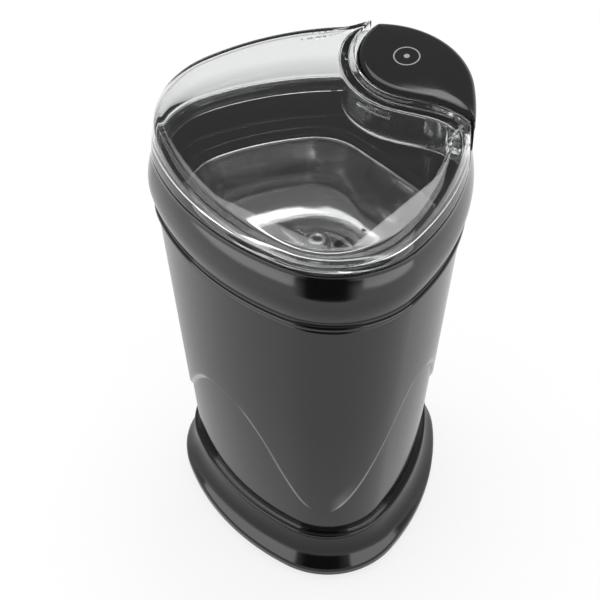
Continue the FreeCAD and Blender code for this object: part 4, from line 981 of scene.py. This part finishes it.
blade_middle = moulded([(3.1, blade_z, 0.0), (6.0, blade_z, 0.3), (6.0, blade_z + 1.4, 0.3),
                        (3.1, blade_z + 1.4, 0.0)])
make_piece("twisted_blade", [wing_skin(1.0), wing_skin(-1.0), turned_skin(blade_middle)], "rotor",
           "blade_steel", ["blade"])

nut_low = blade_z + 1.4
nut = moulded([(0.02, nut_low + 1.1, 0.0), (3.0, nut_low + 1.1, 0.0), (3.0, nut_low, 0.0),
               (4.3, nut_low, 0.25), (4.3, nut_low + 5.0, 2.4), (0.02, nut_low + 5.0, 0.0)], steps=10)
make_piece("domed_nut", [turned_skin(nut)], "rotor", "steel", ["blade_hub"])

# %% [markdown]
# ## Floor, light and camera
# The grinder stands on a pale floor under broad soft lamps. The background is white to the eye,
# and the floor keeps the shadow. Gloss black shows only what it mirrors, so reflections get a
# studio of their own: a pale floor that grows brighter outwards, white low down behind the
# grinder, grey overhead, two bright panels, and a black card that parts their reflections.

# %% Floor
WHITE = (1.0, 1.0, 1.0, 1.0)


def make_floor():
    """Large flat sheet just under the foot. To the eye it is three parts plain white and one part
    lit colour; in reflections it is a level that depends on the distance from the grinder."""
    mesh = bpy.data.meshes.new("studio_floor")
    size = 3.0
    mesh.from_pydata([(x * size, y * size, -0.0002) for x, y in ((-1, -1), (1, -1), (1, 1), (-1, 1))],
                     [], [(0, 1, 2, 3)])
    floor = bpy.data.objects.new("studio_floor", mesh)
    bpy.context.scene.collection.objects.link(floor)
    made, tree, place = start_finish("pale_floor")
    grain = add(tree, "TexNoise", {"Vector": place, "Scale": 40.0})
    colour = add(tree, "ValToRGB", {"Fac": grain.outputs["Fac"]}, ("#f2f2f2", "#f6f6f6"))
    matt = add(tree, "BsdfDiffuse", {"Color": colour.outputs["Color"]})
    white = add(tree, "Emission", {"Color": WHITE, "Strength": 1.0})
    ray = add(tree, "LightPath")
    through = add(tree, "Math", {0: ray.outputs["Is Transmission Ray"], 1: 0.6}, operation="MULTIPLY")
    seen = add(tree, "Math", {0: ray.outputs["Is Camera Ray"], 1: through.outputs["Value"]},
               operation="MAXIMUM")
    share = add(tree, "Math", {0: seen.outputs["Value"], 1: 0.75}, operation="MULTIPLY")
    table = add(tree, "MixShader", {0: share.outputs["Value"], 1: matt.outputs["BSDF"],
                                    2: white.outputs["Emission"]})
    away = add(tree, "VectorMath", {"Vector": place}, operation="LENGTH")
    lit = add(tree, "MapRange", {"Value": away.outputs["Value"], "From Min": 0.1, "From Max": 0.3,
                                 "To Min": 0.68, "To Max": 1.2})
    ends = add(tree, "MapRange", {"Value": away.outputs["Value"], "From Min": 0.9, "From Max": 1.6,
                                  "To Min": 1.0, "To Max": 0.06})
    level = add(tree, "Math", {0: lit.outputs["Result"], 1: ends.outputs["Result"]},
                operation="MULTIPLY")
    mirrored = add(tree, "Emission", {"Color": WHITE, "Strength": level.outputs["Value"]})
    mixed = add(tree, "MixShader", {0: ray.outputs["Is Glossy Ray"], 1: table.outputs["Shader"],
                                    2: mirrored.outputs["Emission"]})
    close_finish(tree, mixed.outputs["Shader"])
    mesh.materials.append(made)


make_floor()


# %% World
def make_world():
    """White to the eye and a plain grey for soft fill. Reflections, and what is seen through clear
    plastic, rise from least to white round one low direction behind the grinder."""
    world = bpy.data.worlds.new("studio")
    bpy.context.scene.world = world
    world.use_nodes = True
    tree = world.node_tree
    tree.nodes.clear()
    way = add(tree, "TexCoord").outputs["Generated"]
    ray = add(tree, "LightPath")
    lean = add(tree, "MapRange", {"Value": ray.outputs["Is Transmission Ray"],
                                  "To Min": -0.9, "To Max": -0.45})
    back = add(tree, "CombineXYZ", {"X": -0.767, "Y": 0.642, "Z": lean.outputs["Result"]})
    behind = add(tree, "VectorMath", {0: way, 1: back.outputs["Vector"]}, operation="DOT_PRODUCT")
    least = add(tree, "MapRange", {"Value": ray.outputs["Is Transmission Ray"],
                                   "To Min": 0.38, "To Max": 0.22})
    dome = add(tree, "MapRange", {"Value": behind.outputs["Value"], "From Min": 0.3, "From Max": 0.7,
                                  "To Min": least.outputs["Result"], "To Max": 1.0})
    bent = add(tree, "Math", {0: ray.outputs["Is Glossy Ray"], 1: ray.outputs["Is Transmission Ray"]},
               operation="MAXIMUM")
    white = add(tree, "Background", {"Color": WHITE, "Strength": 1.0})
    mirrored = add(tree, "Background", {"Color": WHITE, "Strength": dome.outputs["Result"]})
    fill = add(tree, "Background", {"Color": WHITE, "Strength": 0.8})
    glossy = add(tree, "MixShader", {0: bent.outputs["Value"], 1: fill.outputs["Background"],
                                     2: mirrored.outputs["Background"]})
    mixed = add(tree, "MixShader", {0: ray.outputs["Is Camera Ray"], 1: glossy.outputs["Shader"],
                                    2: white.outputs["Background"]})
    tree.links.new(mixed.outputs["Shader"], add(tree, "OutputWorld").inputs["Surface"])


make_world()


# %% Lamps
def soft_lamp(name, place, size, brightness, facing, tilt=0.0):
    """Rectangular lamp at a place in metres. Facing is the direction in degrees that it looks to in
    the plan, and tilt how far it is raised from looking down; power is pi times area times
    brightness."""
    lamp = bpy.data.lights.new(name, "AREA")
    lamp.shape = "RECTANGLE"
    lamp.size, lamp.size_y = size
    lamp.energy = math.pi * size[0] * size[1] * brightness
    made = bpy.data.objects.new(name, lamp)
    made.location = place
    made.rotation_euler = (math.radians(tilt), 0.0, math.radians(facing - 90.0))
    bpy.context.scene.collection.objects.link(made)
    return made


soft_lamp("overhead_softbox", (-0.08, 0.25, 0.9), (0.42, 0.32), 4.0, 90.0)
soft_lamp("overhead_left_softbox", (-0.355, -0.014, 0.9), (0.5, 0.4), 2.2, 109.0)
soft_lamp("left_panel", (-0.12, -0.545, 0.13), (0.6, 0.26), 2.3, 70.0, 90.0)
soft_lamp("right_panel", (0.58, 0.09, 0.13), (0.6, 0.26), 2.3, 208.0, 90.0)


# %% Black card
def make_card():
    """Matt black card in front of the grinder. Only reflections meet it: to every other ray it is
    clear, so it hides nothing and throws no shadow. It fades out to its left and right."""
    along_card, middle, top = Vector((0.719, 0.695, 0.0)), Vector((0.695, -0.719, 0.0)) * 0.3, 0.3
    across, rise = along_card * 0.16, Vector((0.0, 0.0, top))
    corners = [middle - across, middle + across, middle + across + rise, middle - across + rise]
    mesh = bpy.data.meshes.new("black_card")
    mesh.from_pydata([tuple(corner) for corner in corners], [], [(0, 1, 2, 3)])
    card = bpy.data.objects.new("black_card", mesh)
    bpy.context.scene.collection.objects.link(card)
    made, tree, place = start_finish("black_card_paper")
    grain = add(tree, "TexNoise", {"Vector": place, "Scale": 300.0})
    colour = add(tree, "ValToRGB", {"Fac": grain.outputs["Fac"]}, ("#0c0c0c", "#121212"))
    matt = add(tree, "BsdfDiffuse", {"Color": colour.outputs["Color"]})
    along = add(tree, "VectorMath", {0: place, 1: tuple(along_card)}, operation="DOT_PRODUCT")
    off = add(tree, "Math", {0: along.outputs["Value"]}, operation="ABSOLUTE")
    fade = add(tree, "MapRange", {"Value": off.outputs["Value"], "From Min": 0.09, "From Max": 0.16})
    ray = add(tree, "LightPath")
    other = add(tree, "Math", {0: 1.0, 1: ray.outputs["Is Glossy Ray"]}, operation="SUBTRACT")
    gone = add(tree, "Math", {0: fade.outputs["Result"], 1: other.outputs["Value"]},
               operation="MAXIMUM")
    clear = add(tree, "BsdfTransparent", {"Color": WHITE})
    mixed = add(tree, "MixShader", {0: gone.outputs["Value"], 1: matt.outputs["BSDF"],
                                    2: clear.outputs["BSDF"]})
    close_finish(tree, mixed.outputs["Shader"])
    mesh.materials.append(made)


make_card()


# %% Camera
def make_camera():
    """Camera matched to the photograph: its right, up and backward directions are the columns."""
    lens = bpy.data.cameras.new("photo_camera")
    lens.sensor_width, lens.lens = 36.0, 63.03
    lens.clip_start, lens.clip_end = 0.01, 20.0
    camera = bpy.data.objects.new("photo_camera", lens)
    right, up = (0.64498, 0.76418, -0.00433), (-0.52793, 0.44966, 0.72048)
    ahead = (-0.55253, 0.46241, -0.69346)
    turn = Matrix((right, up, tuple(-part for part in ahead))).transposed()
    camera.matrix_world = Matrix.Translation((0.195604, -0.171358, 0.341458)) @ turn.to_4x4()
    bpy.context.scene.collection.objects.link(camera)
    bpy.context.scene.camera = camera


make_camera()
bpy.context.scene.view_settings.view_transform = "Standard"
